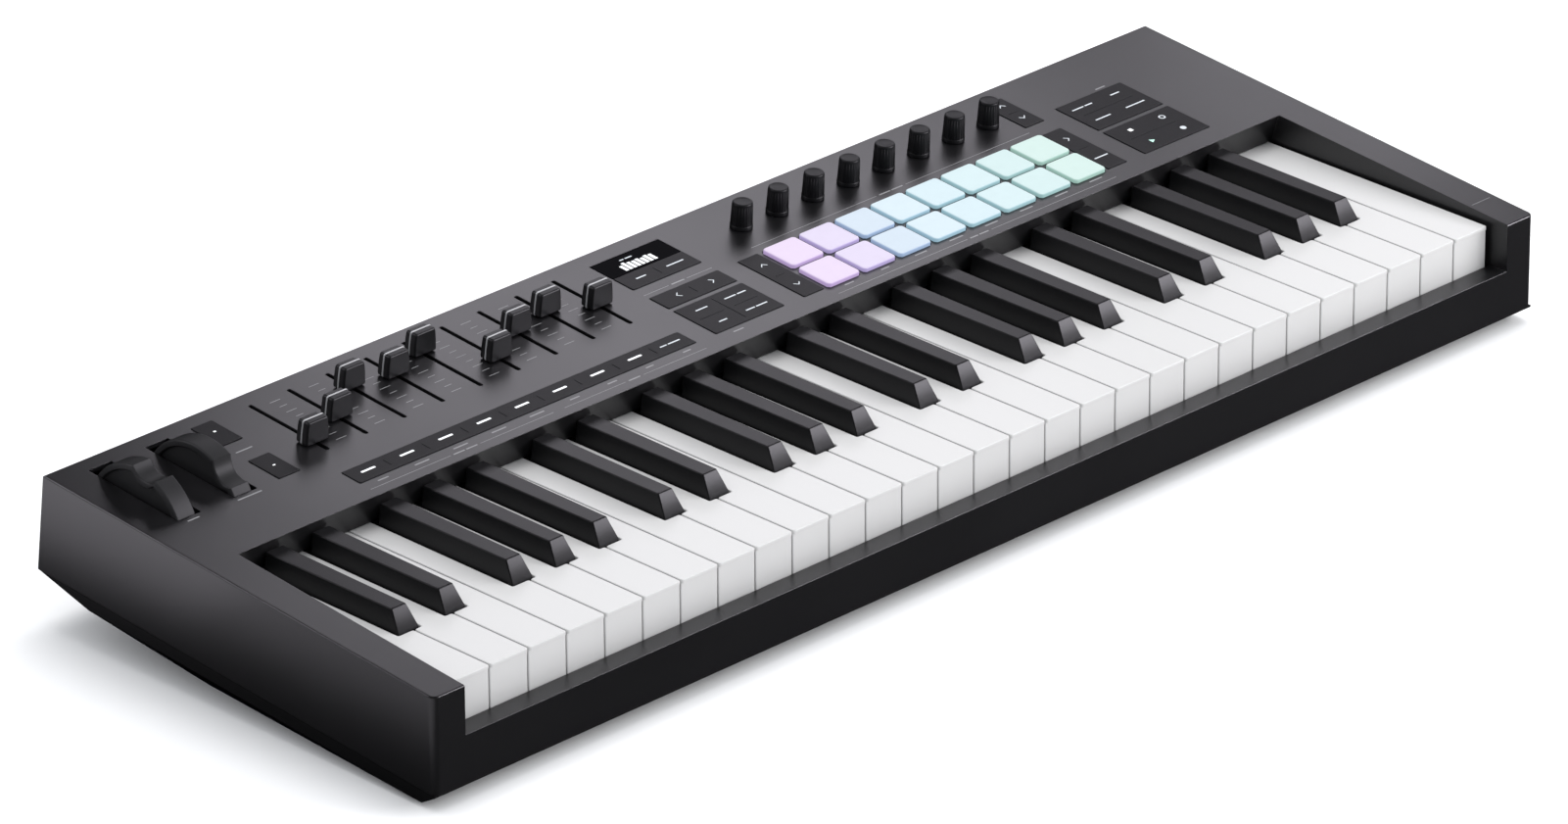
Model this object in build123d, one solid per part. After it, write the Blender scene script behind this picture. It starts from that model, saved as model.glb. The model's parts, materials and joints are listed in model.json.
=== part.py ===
from build123d import *
import math
import os

# A 49-key keyboard controller: a wedge-shaped plastic case with a sloping control panel
# behind a full-size keyboard. Lengths are in millimetres and angles in degrees.
# The model is laid out with x from the low-key end, y from the front face and z from a level
# STANCE above the table, and each piece is moved to the centre of the footprint on the table
# as it is written.

# Case
WIDTH = 723.3
DEPTH = 262.8
WALL = 2.5
FRONT_TOP_Z = 50.3
PANEL_TILT = 4.73
PANEL_BACK_Y = 256.8
RIM_FRONT_Z = 2.0
RIM_BACK_Z = 22.6
STANCE = 6.4
CORNER_RADIUS = 3.5
EDGE_RADIUS = 0.8

# Key well: the notch between the cheeks, with a low shelf in front of the keys
WELL_X_FRONT = 18.8
WELL_X_BACK = 19.9
WELL_BACK_Y = 148.3
FALLBOARD_FOOT_Y = 152.6
FALLBOARD_FOOT_Z = 48.0
SHELF_Z = 26.0
SHELF_DEPTH = 11.0

# Bottom pan: a tray with an upright skirt and 45-degree flanks, sloping up in front and behind
PAN_Z = -4.4
PAN_SKIRT = 6.4
PAN_FRONT_Y = 10.0
PAN_BEND_Y = 162.0
PAN_BACK_Y = 262.0
FLANK_SLOPE = 1.06
FOOT_RADIUS = 8.0
FOOT_RECESS = 0.8
LEG_RADIUS = 12.0
FOOT_X = 60.0
FRONT_FOOT_Y = 24.0
REAR_FOOT_Y = 225.0

# Keys
KEY_PITCH = 23.5
NATURAL_COUNT = 29
OCTAVES = 4
KEYS_X = (WIDTH - NATURAL_COUNT * KEY_PITCH) / 2
KEY_GAP = 1.0
KEY_TOP_Z = 47.35
KEY_BOTTOM_Z = 24.0
KEY_FRONT_Y = 11.7
KEY_LIP = 0.7
KEY_LIP_DEPTH = 2.0
KEY_BODY_BACK_Y = 155.0
KEY_SKIN = 1.5
NOTCH_Y = 61.2
SHARP_OFFSETS = {1: -2.6, 2: 2.2, 4: -3.4, 5: -0.3, 6: 3.2}
SHARP_WIDTH = 12.8
SHARP_CLEARANCE = 0.8
SHARP_FRONT_Y = 62.0
SHARP_TOP_FRONT_Y = 68.3
SHARP_BACK_Y = 149.2
SHARP_TOP_Z = 57.3
SHARP_TOP_WIDTH_FRONT = 7.5
SHARP_TOP_WIDTH_BACK = 10.0
SHARP_BOTTOM_Z = 34.0
PLUNGER_Y = 105.0

# Each comb of keys ends in a bar, and the three bars of an octave lie above each other
BAR_Y = 166.0
BAR_DEPTH = 12.0
BAR_HEIGHT = 5.0
BAR_Z = {"low": 24.0, "mid": 30.5, "high": 37.0}
ARM_WIDTH = 8.0

# Chassis under the keys
CHASSIS_Z = 9.5
CHASSIS_PLATE = 2.0
CHASSIS_FRONT_Y = 14.0
CHASSIS_BACK_Y = 183.0
GUIDE_Y = 29.0
GUIDE_TOP_Z = 33.0

# Control panel, in the panel's own frame: w is the height above its surface
BOARD_TOP_W = -12.0
BOARD_THICKNESS = 1.6
CAP_PROUD = 0.4
WINDOW_CLEARANCE = 0.25
MAT_TOP_W = -7.0
MAT_THICKNESS = 1.0
MAT_FLANGE = 0.8
PITCH = 24.0

FADER_X = 116.3
FADER_COUNT = 9
FADER_PITCH = 23.96
FADER_SLOT_WIDTH = 2.4
FADER_SLOT = (193.5, 247.0)
FADER_REST_Y = (204.4, 214.3, 231.7, 227.6, 235.4, 209.5, 221.9, 226.9, 217.0)
FADER_CAP_HEIGHT = 12.0

KNOB_COUNT = 8
KNOB_X = 415.7
KNOB_Y = 230.0
KNOB_BASE_RADIUS = 5.6
KNOB_TOP_RADIUS = 4.9
KNOB_TOP_W = 13.7
KNOB_LIFT = 0.3
STEM_RADIUS = 2.9
RUNNING_CLEARANCE = 0.05

PAD_SIZE = 21.4
PAD_X = 415.7
PAD_ROWS_Y = (171.1, 195.0)
PAD_COLUMNS = 8
PAD_PROUD = 1.9
PAD_CORNER = 1.3

WHEEL_X = (25.2, 59.2)
WHEEL_Y = 216.8
WHEEL_Z = 51.2
WHEEL_RADIUS = 31.7
WHEEL_WIDTH = 11.4
WHEEL_RIM = 3.0
WHEEL_SLOT_X = (26.0, 60.0)
DIMPLE_RADIUS = 9.7
DIMPLE_DEPTH = 4.5
WHEEL_SLOT = (187.4, 247.6)
WHEEL_SLOT_WIDTH = 14.2
AXLE_RADIUS = 2.5

# Button groups: node name, and the groups' rectangles (x0, x1, y0, y1) in the panel
BUTTONS = {
    "octave_buttons": [(80.5, 93.2, 226.0, 247.0), (80.5, 93.2, 187.5, 208.3)],
    "fader_buttons": [(106.0, 318.3, 161.2, 173.7)],
    "display_buttons": [(331.3, 376.0, 216.4, 229.8)],
    "track_buttons": [(331.3, 376.0, 192.6, 205.7)],
    "function_buttons": [(331.3, 376.0, 161.2, 189.5)],
    "pad_scene_buttons": [(389.3, 402.3, 161.2, 205.7)],
    "pad_launch_buttons": [(596.2, 609.2, 161.2, 205.7)],
    "encoder_page_buttons": [(596.2, 609.2, 216.4, 246.0)],
    "edit_buttons": [(622.0, 667.6, 192.3, 221.3)],
    "transport_buttons": [(622.0, 667.6, 161.2, 189.3)],
}
DISPLAY = (331.3, 376.0, 230.2, 246.0)

# Sockets in the back wall, all on one small board
SOCKET_BOARD_Z = 29.0
USB_X = 120.0
MIDI_X = 155.0
PEDAL_X = 190.0
LOCK_X = 225.0
PEDAL_Z = 35.5
MIDI_Z = 39.0
SOCKET_FACE_Y = 260.4
PEDAL_BORE_RADIUS = 3.2
PEDAL_BORE_LENGTH = 28.0

# Screws: (x, y) of those in the case's bosses and of those that hold the chassis
SCREW_SHANK_RADIUS = 1.45
SCREW_HEAD_RADIUS = 2.8
SCREW_HEAD_HEIGHT = 1.2
SCREW_LENGTH = 9.0
BOSS_RADIUS = 3.5
CHEEK_SCREWS = [(10.0, 30.0), (10.0, 90.0), (WIDTH - 10.0, 30.0), (WIDTH - 10.0, 90.0)]
REAR_SCREWS = [(12.0, 240.0), (248.2, 240.0), (475.7, 240.0), (WIDTH - 12.0, 240.0)]
CHASSIS_SCREWS = [(150.0, 40.0), (WIDTH / 2, 40.0), (573.3, 40.0)]

CENTRE = Pos(-WIDTH / 2, -DEPTH / 2, STANCE)
PANEL_NORMAL = (0, -math.sin(math.radians(PANEL_TILT)), math.cos(math.radians(PANEL_TILT)))


def write(shape, name):
    """Centre a piece and write it as parts/NAME.step."""
    export_step(CENTRE * shape, f"parts/{name}.step")


def panel_z(y):
    return FRONT_TOP_Z + y * math.tan(math.radians(PANEL_TILT))


def rim_z(y):
    return RIM_FRONT_Z + y * (RIM_BACK_Z - RIM_FRONT_Z) / DEPTH


def pan_z(y):
    """Height of the pan's outer surface."""
    slope = (rim_z(PAN_BACK_Y) - PAN_Z) / (PAN_BACK_Y - PAN_BEND_Y)
    return PAN_Z + max(0.0, y - PAN_BEND_Y) * slope


def box(x0, x1, y0, y1, z0, z1):
    return Pos((x0 + x1) / 2, (y0 + y1) / 2, (z0 + z1) / 2) * Box(x1 - x0, y1 - y0, z1 - z0)


def rod(x, y, z0, z1, radius):
    """A vertical cylinder."""
    return Pos(x, y, (z0 + z1) / 2) * Cylinder(radius, z1 - z0)


def cross_rod(y, z, x0, x1, radius):
    """A cylinder along x."""
    return Pos((x0 + x1) / 2, y, z) * Rot(0, 90, 0) * Cylinder(radius, x1 - x0)


def depth_rod(x, z, y0, y1, radius):
    """A cylinder along y."""
    return Pos(x, (y0 + y1) / 2, z) * Rot(90, 0, 0) * Cylinder(radius, y1 - y0)


def side_prism(outline, x0, x1):
    """An outline in the side view (y, z), extruded along x."""
    face = make_face(Polyline(*outline, close=True))
    return Pos(x0, 0, 0) * extrude(Plane.YZ * face, amount=x1 - x0)


def on_panel(x, y, w=0.0):
    """Where a piece stands on the panel, with its own z along the panel's normal."""
    origin = (x, y, panel_z(y))
    return Plane(origin=origin, x_dir=(1, 0, 0), z_dir=PANEL_NORMAL).location * Pos(0, 0, w)


def panel_block(x0, x1, y0, y1, w0, w1, grow=0.0, corner=0.0):
    """A block in the panel's frame over a rectangle of the panel."""
    width = x1 - x0 + 2 * grow
    depth = (y1 - y0) / math.cos(math.radians(PANEL_TILT)) + 2 * grow
    outline = RectangleRounded(width, depth, corner) if corner else Rectangle(width, depth)
    return on_panel((x0 + x1) / 2, (y0 + y1) / 2, w0) * extrude(outline, amount=w1 - w0)


def both_sides(shape):
    """A piece and its mirror image about the case's middle."""
    return shape + mirror(shape, about=Plane.YZ.offset(WIDTH / 2))


# ---- case ----

def shell_profile(inset):
    """The shell's side outline, with its front, top and back moved in by inset."""
    back_top = (PANEL_BACK_Y - inset, panel_z(PANEL_BACK_Y) - inset)
    if inset:
        below = -20.0
        lean = (DEPTH - PANEL_BACK_Y) / (panel_z(PANEL_BACK_Y) - RIM_BACK_Z)
        back_foot = (back_top[0] + lean * (back_top[1] - below), below)
        return [(inset, below), (inset, panel_z(inset) - inset), back_top, back_foot]
    return [(0, RIM_FRONT_Z), (0, FRONT_TOP_Z), back_top, (DEPTH, RIM_BACK_Z)]


def well_plan(grow):
    """The key well's plan between the cheeks, wider at the front."""
    front = WELL_X_FRONT - grow
    back = WELL_X_BACK - grow
    back_y = 170.0
    slope = (WELL_X_BACK - WELL_X_FRONT) / WELL_BACK_Y
    outline = [(front, -1), (back + slope * (back_y - WELL_BACK_Y), back_y)]
    outline += [(WIDTH - x, y) for x, y in reversed(outline)]
    return extrude(make_face(Polyline(*outline, close=True)), amount=120.0)


def well_cut():
    """The space that the keys stand in, with its back wall leaning away from the player."""
    top = 120.0
    lean = [(WELL_BACK_Y, top), (WELL_BACK_Y, panel_z(WELL_BACK_Y))]
    lean += [(FALLBOARD_FOOT_Y, FALLBOARD_FOOT_Z), (FALLBOARD_FOOT_Y, SHELF_Z)]
    outline = [(-5.0, SHELF_Z), (-5.0, top)] + lean
    return side_prism(outline, 0, WIDTH) & well_plan(0.0)


def panel_windows():
    """Every hole in the control panel."""
    low, high = -8.0, 8.0
    holes = []
    for x in WHEEL_SLOT_X:
        half = WHEEL_SLOT_WIDTH / 2
        holes.append(panel_block(x - half, x + half, *WHEEL_SLOT, low, high, corner=0.6))
    for i in range(FADER_COUNT):
        x = FADER_X + i * FADER_PITCH
        half = FADER_SLOT_WIDTH / 2
        holes.append(panel_block(x - half, x + half, *FADER_SLOT, low, high, corner=1.0))
    for i in range(KNOB_COUNT):
        holes.append(on_panel(KNOB_X + i * PITCH, KNOB_Y) * Cylinder(4.0, 16.0))
    for rectangles in BUTTONS.values():
        for x0, x1, y0, y1 in rectangles:
            holes.append(panel_block(x0, x1, y0, y1, low, high, WINDOW_CLEARANCE, 0.8))
    holes.append(panel_block(*DISPLAY, low, high, WINDOW_CLEARANCE, 0.8))
    for y in PAD_ROWS_Y:
        for i in range(PAD_COLUMNS):
            holes.append(pad_block(PAD_X + i * PITCH, y, low, high, WINDOW_CLEARANCE))
    return holes


def top_shell():
    outer = side_prism(shell_profile(0.0), 0, WIDTH)
    front_posts = outer.edges().filter_by(Axis.Z).sort_by(Axis.Y)[:2]
    outer = fillet(front_posts, CORNER_RADIUS)
    top_face = outer.faces().sort_by(Axis.Z)[-1]
    outer = fillet(top_face.edges(), EDGE_RADIUS)
    cavity = side_prism(shell_profile(WALL), WALL, WIDTH - WALL)
    shell = outer - cavity

    cheek_wall_foot = 12.0
    walls = well_plan(WALL) & box(0, WIDTH, WALL, FALLBOARD_FOOT_Y + WALL, cheek_wall_foot, 75.0)
    walls = (walls - well_plan(0.0)) & outer
    shelf = box(WALL, WIDTH - WALL, WALL / 2, SHELF_DEPTH, SHELF_Z - WALL, SHELF_Z)
    fallboard = side_prism(
        [
            (WELL_BACK_Y, panel_z(WELL_BACK_Y) - 0.5),
            (WELL_BACK_Y + WALL, panel_z(WELL_BACK_Y) - 0.5),
            (FALLBOARD_FOOT_Y + WALL, FALLBOARD_FOOT_Z),
            (FALLBOARD_FOOT_Y, FALLBOARD_FOOT_Z),
        ],
        WELL_X_BACK - WALL,
        WIDTH - WELL_X_BACK + WALL,
    )
    shell = shell + walls + shelf + fallboard - well_cut()

    for x, y in CHEEK_SCREWS + REAR_SCREWS:
        foot = pan_z(y) + WALL + 0.6
        shell += rod(x, y, foot, panel_z(y) - 1.0, BOSS_RADIUS)
        hole_top = foot + SCREW_LENGTH + 2.0
        shell -= rod(x, y, foot - 1.0, hole_top, SCREW_SHANK_RADIUS + RUNNING_CLEARANCE)
    shell -= panel_windows()

    wall_start = 250.0
    shell -= box(USB_X - 4.8, USB_X + 4.8, wall_start, 270.0, 28.6, 32.9)
    shell -= depth_rod(MIDI_X, MIDI_Z, wall_start, 270.0, 8.5)
    shell -= depth_rod(PEDAL_X, PEDAL_Z, wall_start, 270.0, 5.7)
    shell -= box(LOCK_X - 3.5, LOCK_X + 3.5, wall_start, 270.0, PEDAL_Z - 1.5, PEDAL_Z + 1.5)
    return shell


def outside_flanks():
    """All that lies below the pan's slanted flanks, left and right."""
    run = (0, DEPTH, RIM_BACK_Z - RIM_FRONT_Z)
    plane = Plane(origin=(0, 0, RIM_FRONT_Z - PAN_SKIRT), x_dir=(1, 0, 0), z_dir=run)
    reach = 60.0
    outline = [(-5, -5 * FLANK_SLOPE), (reach, reach * FLANK_SLOPE), (-5, reach * FLANK_SLOPE)]
    wedge = extrude(plane * make_face(Polyline(*outline, close=True)), amount=400.0, both=True)
    return both_sides(wedge)


def screw_seats():
    """Each screw's place and the height of the surface that its head sits in."""
    return [(x, y, pan_z(y)) for x, y in CHEEK_SCREWS + REAR_SCREWS + CHASSIS_SCREWS]


def feet_places():
    xs = (FOOT_X, WIDTH / 2, WIDTH - FOOT_X)
    return [(x, y) for y in (FRONT_FOOT_Y, REAR_FOOT_Y) for x in xs]


def bottom_pan():
    start_y = 0.4
    profile = [(start_y, rim_z(start_y)), (start_y, rim_z(start_y) - 0.8), (PAN_FRONT_Y, PAN_Z)]
    profile += [(PAN_BEND_Y, PAN_Z), (PAN_BACK_Y, rim_z(PAN_BACK_Y))]
    hull = side_prism(profile, 0, WIDTH)
    skirts = both_sides(side_prism(profile, 0, WALL))
    inside = WALL + 0.2
    plate_back = 255.0
    plate = side_prism(
        [
            (PAN_FRONT_Y, PAN_Z),
            (PAN_BEND_Y, PAN_Z),
            (plate_back, pan_z(plate_back)),
            (plate_back, pan_z(plate_back) + WALL),
            (PAN_BEND_Y, PAN_Z + WALL),
            (PAN_FRONT_Y, PAN_Z + WALL),
        ],
        inside,
        WIDTH - inside,
    )
    skin = hull - Pos(0, 0, WALL) * (hull - outside_flanks())
    pan = skin + skirts + plate - outside_flanks()
    for x in (FOOT_X, WIDTH / 2, WIDTH - FOOT_X):
        pan += rod(x, REAR_FOOT_Y, PAN_Z, pan_z(REAR_FOOT_Y) + WALL, LEG_RADIUS)
    for x, y in feet_places():
        pan -= rod(x, y, PAN_Z - 1, PAN_Z + FOOT_RECESS, FOOT_RADIUS + 0.15)
    for x in (USB_X - 12, LOCK_X + 8):
        post_y = 244.0
        pan += rod(x, post_y, pan_z(post_y) + 1, SOCKET_BOARD_Z - BOARD_THICKNESS, 3.0)
    for x, y, z in screw_seats():
        pan -= rod(x, y, z - 2, z + SCREW_HEAD_HEIGHT, SCREW_HEAD_RADIUS + 0.2)
        pan -= rod(x, y, z - 2, z + 6, SCREW_SHANK_RADIUS + 0.2)
    return pan


def rubber_feet():
    return [rod(x, y, -STANCE, PAN_Z + FOOT_RECESS, FOOT_RADIUS) for x, y in feet_places()]


def case_screws():
    screws = []
    for x, y, z in screw_seats():
        head = rod(x, y, z + 0.1, z + SCREW_HEAD_HEIGHT, SCREW_HEAD_RADIUS)
        head -= Pos(x, y, z) * extrude(RegularPolygon(1.3, 6), amount=0.8)
        screws.append(head + rod(x, y, z + 0.5, z + SCREW_LENGTH, SCREW_SHANK_RADIUS))
    return screws


# ---- keys ----

def sharp_centre(boundary):
    """The x of the sharp at a boundary between naturals, or None where there is none."""
    step = boundary % 7
    if step not in SHARP_OFFSETS or boundary >= NATURAL_COUNT - 1:
        return None
    return KEYS_X + boundary * KEY_PITCH + SHARP_OFFSETS[step]


def arm_and_plunger(x, level, body_bottom):
    """The narrow arm that joins a key to its comb's bar, and the post that works its contact."""
    z = BAR_Z[level]
    half = ARM_WIDTH / 2
    arm = box(x - half, x + half, KEY_BODY_BACK_Y - 3, BAR_Y + 1, z, z + BAR_HEIGHT)
    post = box(x - 2, x + 2, PLUNGER_Y - 2, PLUNGER_Y + 2, KEY_BOTTOM_Z, body_bottom + 12)
    return arm + post


def natural(index, level):
    """One white key: a hollow cover with a lip at the front and notches for the sharps."""
    x0 = KEYS_X + index * KEY_PITCH + KEY_GAP / 2
    x1 = x0 + KEY_PITCH - KEY_GAP
    notch = SHARP_WIDTH / 2 + SHARP_CLEARANCE
    left = sharp_centre(index)
    right = sharp_centre(index + 1)
    tail0 = x0 if left is None else left + notch
    tail1 = x1 if right is None else right - notch
    top_inside = KEY_TOP_Z - 2.0
    key = box(x0, x1, KEY_FRONT_Y, NOTCH_Y, KEY_BOTTOM_Z, KEY_TOP_Z)
    key += box(tail0, tail1, NOTCH_Y, KEY_BODY_BACK_Y, KEY_BOTTOM_Z, KEY_TOP_Z)
    key += box(x0, x1, KEY_FRONT_Y - KEY_LIP, KEY_FRONT_Y, KEY_TOP_Z - KEY_LIP_DEPTH, KEY_TOP_Z)
    inner_y = NOTCH_Y - KEY_SKIN
    key -= box(x0 + KEY_SKIN, x1 - KEY_SKIN, KEY_FRONT_Y + KEY_SKIN, inner_y, 0, top_inside)
    key -= box(tail0 + KEY_SKIN, tail1 - KEY_SKIN, inner_y, KEY_BODY_BACK_Y - KEY_SKIN, 0, top_inside)
    return key + arm_and_plunger((tail0 + tail1) / 2, level, KEY_TOP_Z - 13.0)


def flat_sided(foot, crown):
    """A solid between two four-cornered outlines, with its twisted sides split in triangles."""
    faces = [foot, crown]
    for i in range(4):
        j = (i + 1) % 4
        if i % 2:
            faces += [[foot[i], foot[j], crown[j]], [foot[i], crown[j], crown[i]]]
        else:
            faces += [[foot[i], foot[j], crown[j], crown[i]]]
    shell = Shell([Face(Wire.make_polygon(corners, close=True)) for corners in faces])
    return Solid(shell)


def sharp(boundary):
    """One black key: tapered above the naturals, straight between them, hollow below."""
    x = sharp_centre(boundary)
    half = SHARP_WIDTH / 2
    front = SHARP_TOP_WIDTH_FRONT / 2
    back = SHARP_TOP_WIDTH_BACK / 2
    foot = [
        (x - half, SHARP_FRONT_Y, KEY_TOP_Z),
        (x + half, SHARP_FRONT_Y, KEY_TOP_Z),
        (x + half, SHARP_BACK_Y, KEY_TOP_Z),
        (x - half, SHARP_BACK_Y, KEY_TOP_Z),
    ]
    crown = [
        (x - front, SHARP_TOP_FRONT_Y, SHARP_TOP_Z),
        (x + front, SHARP_TOP_FRONT_Y, SHARP_TOP_Z),
        (x + back, SHARP_BACK_Y, SHARP_TOP_Z),
        (x - back, SHARP_BACK_Y, SHARP_TOP_Z),
    ]
    key = box(x - half, x + half, SHARP_FRONT_Y, KEY_BODY_BACK_Y, SHARP_BOTTOM_Z, KEY_TOP_Z)
    key += flat_sided(foot, crown)
    pocket = half - KEY_SKIN
    pocket_top = KEY_TOP_Z - 1.0
    key -= box(x - pocket, x + pocket, SHARP_FRONT_Y + KEY_SKIN, SHARP_BACK_Y, 0, pocket_top)
    return key + arm_and_plunger(x, "high", KEY_TOP_Z - 11.0)


def comb(keys, level, x0, x1):
    """Keys joined at the back by one bar."""
    z = BAR_Z[level]
    piece = box(x0, x1, BAR_Y, BAR_Y + BAR_DEPTH, z, z + BAR_HEIGHT)
    for key in keys:
        piece += key
    return piece


def key_combs():
    """The combs of the four octaves, and the top key on its own."""
    combs = {}
    for octave in range(OCTAVES):
        first = octave * 7
        left = KEYS_X + first * KEY_PITCH + KEY_GAP / 2
        right = left + 7 * KEY_PITCH - KEY_GAP
        outer = [natural(first + step, "low") for step in (0, 2, 4, 6)]
        inner = [natural(first + step, "mid") for step in (1, 3, 5)]
        sharps = [sharp(first + step) for step in SHARP_OFFSETS]
        number = octave + 1
        combs[f"naturals_cegb_{number}"] = comb(outer, "low", left, right)
        combs[f"naturals_dfa_{number}"] = comb(inner, "mid", left + KEY_PITCH, right - KEY_PITCH)
        sharps_left = sharp_centre(first + 1) - ARM_WIDTH / 2
        sharps_right = sharp_centre(first + 6) + ARM_WIDTH / 2
        combs[f"sharps_{number}"] = comb(sharps, "high", sharps_left, sharps_right)
    last = NATURAL_COUNT - 1
    left = KEYS_X + last * KEY_PITCH + KEY_GAP / 2
    top_key = natural(last, "low")
    combs["natural_top_c"] = comb([top_key], "low", left, left + KEY_PITCH - KEY_GAP)
    return combs


def key_chassis():
    """The tray that carries the keys: a plate on ribs, a back wall and a guide in each natural."""
    x0, x1 = 22.0, WIDTH - 22.0
    top = CHASSIS_Z + CHASSIS_PLATE
    chassis = box(x0, x1, CHASSIS_FRONT_Y, CHASSIS_BACK_Y, CHASSIS_Z, top)
    chassis += box(x0, x1, CHASSIS_BACK_Y - 3.0, CHASSIS_BACK_Y, top, BAR_Z["high"] + BAR_HEIGHT)
    seat_top = BAR_Z["low"] - 0.5
    chassis += box(x0, x1, BAR_Y + 4.0, BAR_Y + 7.0, top, seat_top)
    chassis += box(x0, x1, PLUNGER_Y - 16.0, PLUNGER_Y - 14.0, top, top + 2.0)
    chassis += box(x0, x1, PLUNGER_Y + 14.0, PLUNGER_Y + 16.0, top, top + 2.0)
    for i in range(NATURAL_COUNT):
        x = KEYS_X + (i + 0.5) * KEY_PITCH
        chassis += box(x - 3, x + 3, GUIDE_Y - 3.5, GUIDE_Y + 3.5, top, GUIDE_TOP_Z)
    rib_count = 8
    for i in range(rib_count):
        x = x0 + 10.0 + i * (x1 - x0 - 20.0) / (rib_count - 1)
        chassis += box(x - 1, x + 1, CHASSIS_FRONT_Y, PAN_BEND_Y - 4, PAN_Z + WALL, CHASSIS_Z)
    for x, y in CHASSIS_SCREWS:
        chassis += rod(x, y, PAN_Z + WALL, CHASSIS_Z, BOSS_RADIUS)
        chassis -= rod(x, y, PAN_Z, 20.0, SCREW_SHANK_RADIUS + RUNNING_CLEARANCE)
    return chassis


def key_stop_felt():
    top = CHASSIS_Z + CHASSIS_PLATE
    return box(22.0, WIDTH - 22.0, CHASSIS_FRONT_Y + 0.5, GUIDE_Y - 5.0, top, top + 2.0)


def contact_xs():
    """The x of each key's contact."""
    xs = []
    for i in range(NATURAL_COUNT):
        left = sharp_centre(i)
        right = sharp_centre(i + 1)
        notch = SHARP_WIDTH / 2 + SHARP_CLEARANCE
        x0 = KEYS_X + i * KEY_PITCH + KEY_GAP / 2
        tail0 = x0 if left is None else left + notch
        tail1 = x0 + KEY_PITCH - KEY_GAP if right is None else right - notch
        xs.append((tail0 + tail1) / 2)
        if left is not None:
            xs.append(left)
    return xs


def key_contact_board():
    z = CHASSIS_Z + CHASSIS_PLATE + 2.0
    return box(24.0, WIDTH - 24.0, PLUNGER_Y - 17, PLUNGER_Y + 17, z, z + BOARD_THICKNESS)


def key_contact_domes():
    base_z = CHASSIS_Z + CHASSIS_PLATE + 2.0 + BOARD_THICKNESS
    dome_top = 19.1
    strip = box(25.0, WIDTH - 25.0, PLUNGER_Y - 6, PLUNGER_Y + 6, base_z, base_z + 0.8)
    for x in contact_xs():
        strip += Pos(x, PLUNGER_Y, (base_z + dome_top) / 2) * Cone(3.6, 2.4, dome_top - base_z)
    return strip


# ---- control panel ----

def pad_block(x, y, w0, w1, grow=0.0):
    """A square with cut corners, in the panel's frame."""
    size = PAD_SIZE + 2 * grow
    outline = chamfer(Rectangle(size, size).vertices(), PAD_CORNER)
    return on_panel(x, y, w0) * extrude(outline, amount=w1 - w0)


def pad_bank():
    """Sixteen pads moulded with one web in clear silicone."""
    x0 = PAD_X - PAD_SIZE / 2 - 0.4
    x1 = PAD_X + (PAD_COLUMNS - 1) * PITCH + PAD_SIZE / 2 + 0.4
    y0 = PAD_ROWS_Y[0] - PAD_SIZE / 2 - 0.4
    y1 = PAD_ROWS_Y[1] + PAD_SIZE / 2 + 0.4
    bank = panel_block(x0, x1, y0, y1, MAT_TOP_W - MAT_THICKNESS - 0.6, MAT_TOP_W)
    for y in PAD_ROWS_Y:
        for i in range(PAD_COLUMNS):
            bank += pad_block(PAD_X + i * PITCH, y, MAT_TOP_W, PAD_PROUD)
    return bank


def button_group(rectangles):
    """A rubber key mat: its caps stand in the panel's windows and its plungers reach down."""
    group = []
    for x0, x1, y0, y1 in rectangles:
        mat_w = MAT_TOP_W - MAT_THICKNESS
        piece = panel_block(x0, x1, y0, y1, MAT_TOP_W, CAP_PROUD, corner=0.6)
        piece += panel_block(x0, x1, y0, y1, mat_w, MAT_TOP_W, MAT_FLANGE)
        count = max(1, round((x1 - x0) / PITCH))
        for i in range(count):
            x = x0 + (i + 0.5) * (x1 - x0) / count
            piece += on_panel(x, (y0 + y1) / 2, mat_w - 0.8) * Cylinder(2.5, 2.0)
        group.append(piece)
    if len(group) > 1:
        link_x0, link_x1, _, link_y1 = rectangles[1]
        gap_y = rectangles[0][2]
        mat_w = MAT_TOP_W - MAT_THICKNESS
        link = panel_block(link_x0 + 4, link_x1 - 4, link_y1, gap_y, mat_w, MAT_TOP_W)
        group = [group[0] + link + group[1]]
    return group[0]


def fader_x(i):
    return FADER_X + i * FADER_PITCH


def fader_cap(i):
    """A fader's cap, two plates with a thin strip between them, and its lever."""
    place = on_panel(fader_x(i), FADER_REST_Y[i])
    lift = 0.8
    plates = [((13.5, 7.8), lift), ((13.0, 7.5), 8.0), ((10.8, 7.2), FADER_CAP_HEIGHT)]
    sections = [Pos(0, 0, w) * Rectangle(*size) for size, w in plates]
    cap = loft(sections, ruled=True)
    cap += Pos(0, 0, lift) * extrude(Rectangle(13.9, 0.9), amount=7.4)
    lever_foot = -9.0
    cap += Pos(0, 0, lever_foot) * extrude(Rectangle(1.2, 4.0), amount=lift + 1 - lever_foot)
    return place * cap


def fader_pots():
    """The slide potentiometers under the faders, each open along its top."""
    middle = sum(FADER_SLOT) / 2
    pots = []
    for i in range(FADER_COUNT):
        x = fader_x(i)
        body = panel_block(x - 4.2, x + 4.2, middle - 29, middle + 29, BOARD_TOP_W, -4.5)
        channel = panel_block(x - 1.2, x + 1.2, *FADER_SLOT, -10.0, 0.0)
        pots.append(body - channel)
    return pots


def knob(i):
    """An encoder knob with the shaft that it is pressed on."""
    place = on_panel(KNOB_X + i * PITCH, KNOB_Y)
    height = KNOB_TOP_W - KNOB_LIFT
    cap = Cone(KNOB_BASE_RADIUS, KNOB_TOP_RADIUS, height)
    cap = fillet(cap.edges().sort_by(Axis.Z)[-1], 0.8)
    cap = Pos(0, 0, KNOB_LIFT + height / 2) * cap
    stem_foot = -8.0
    stem = Pos(0, 0, stem_foot) * extrude(Circle(STEM_RADIUS), amount=KNOB_LIFT + 1 - stem_foot)
    return place * (cap + stem)


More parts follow.
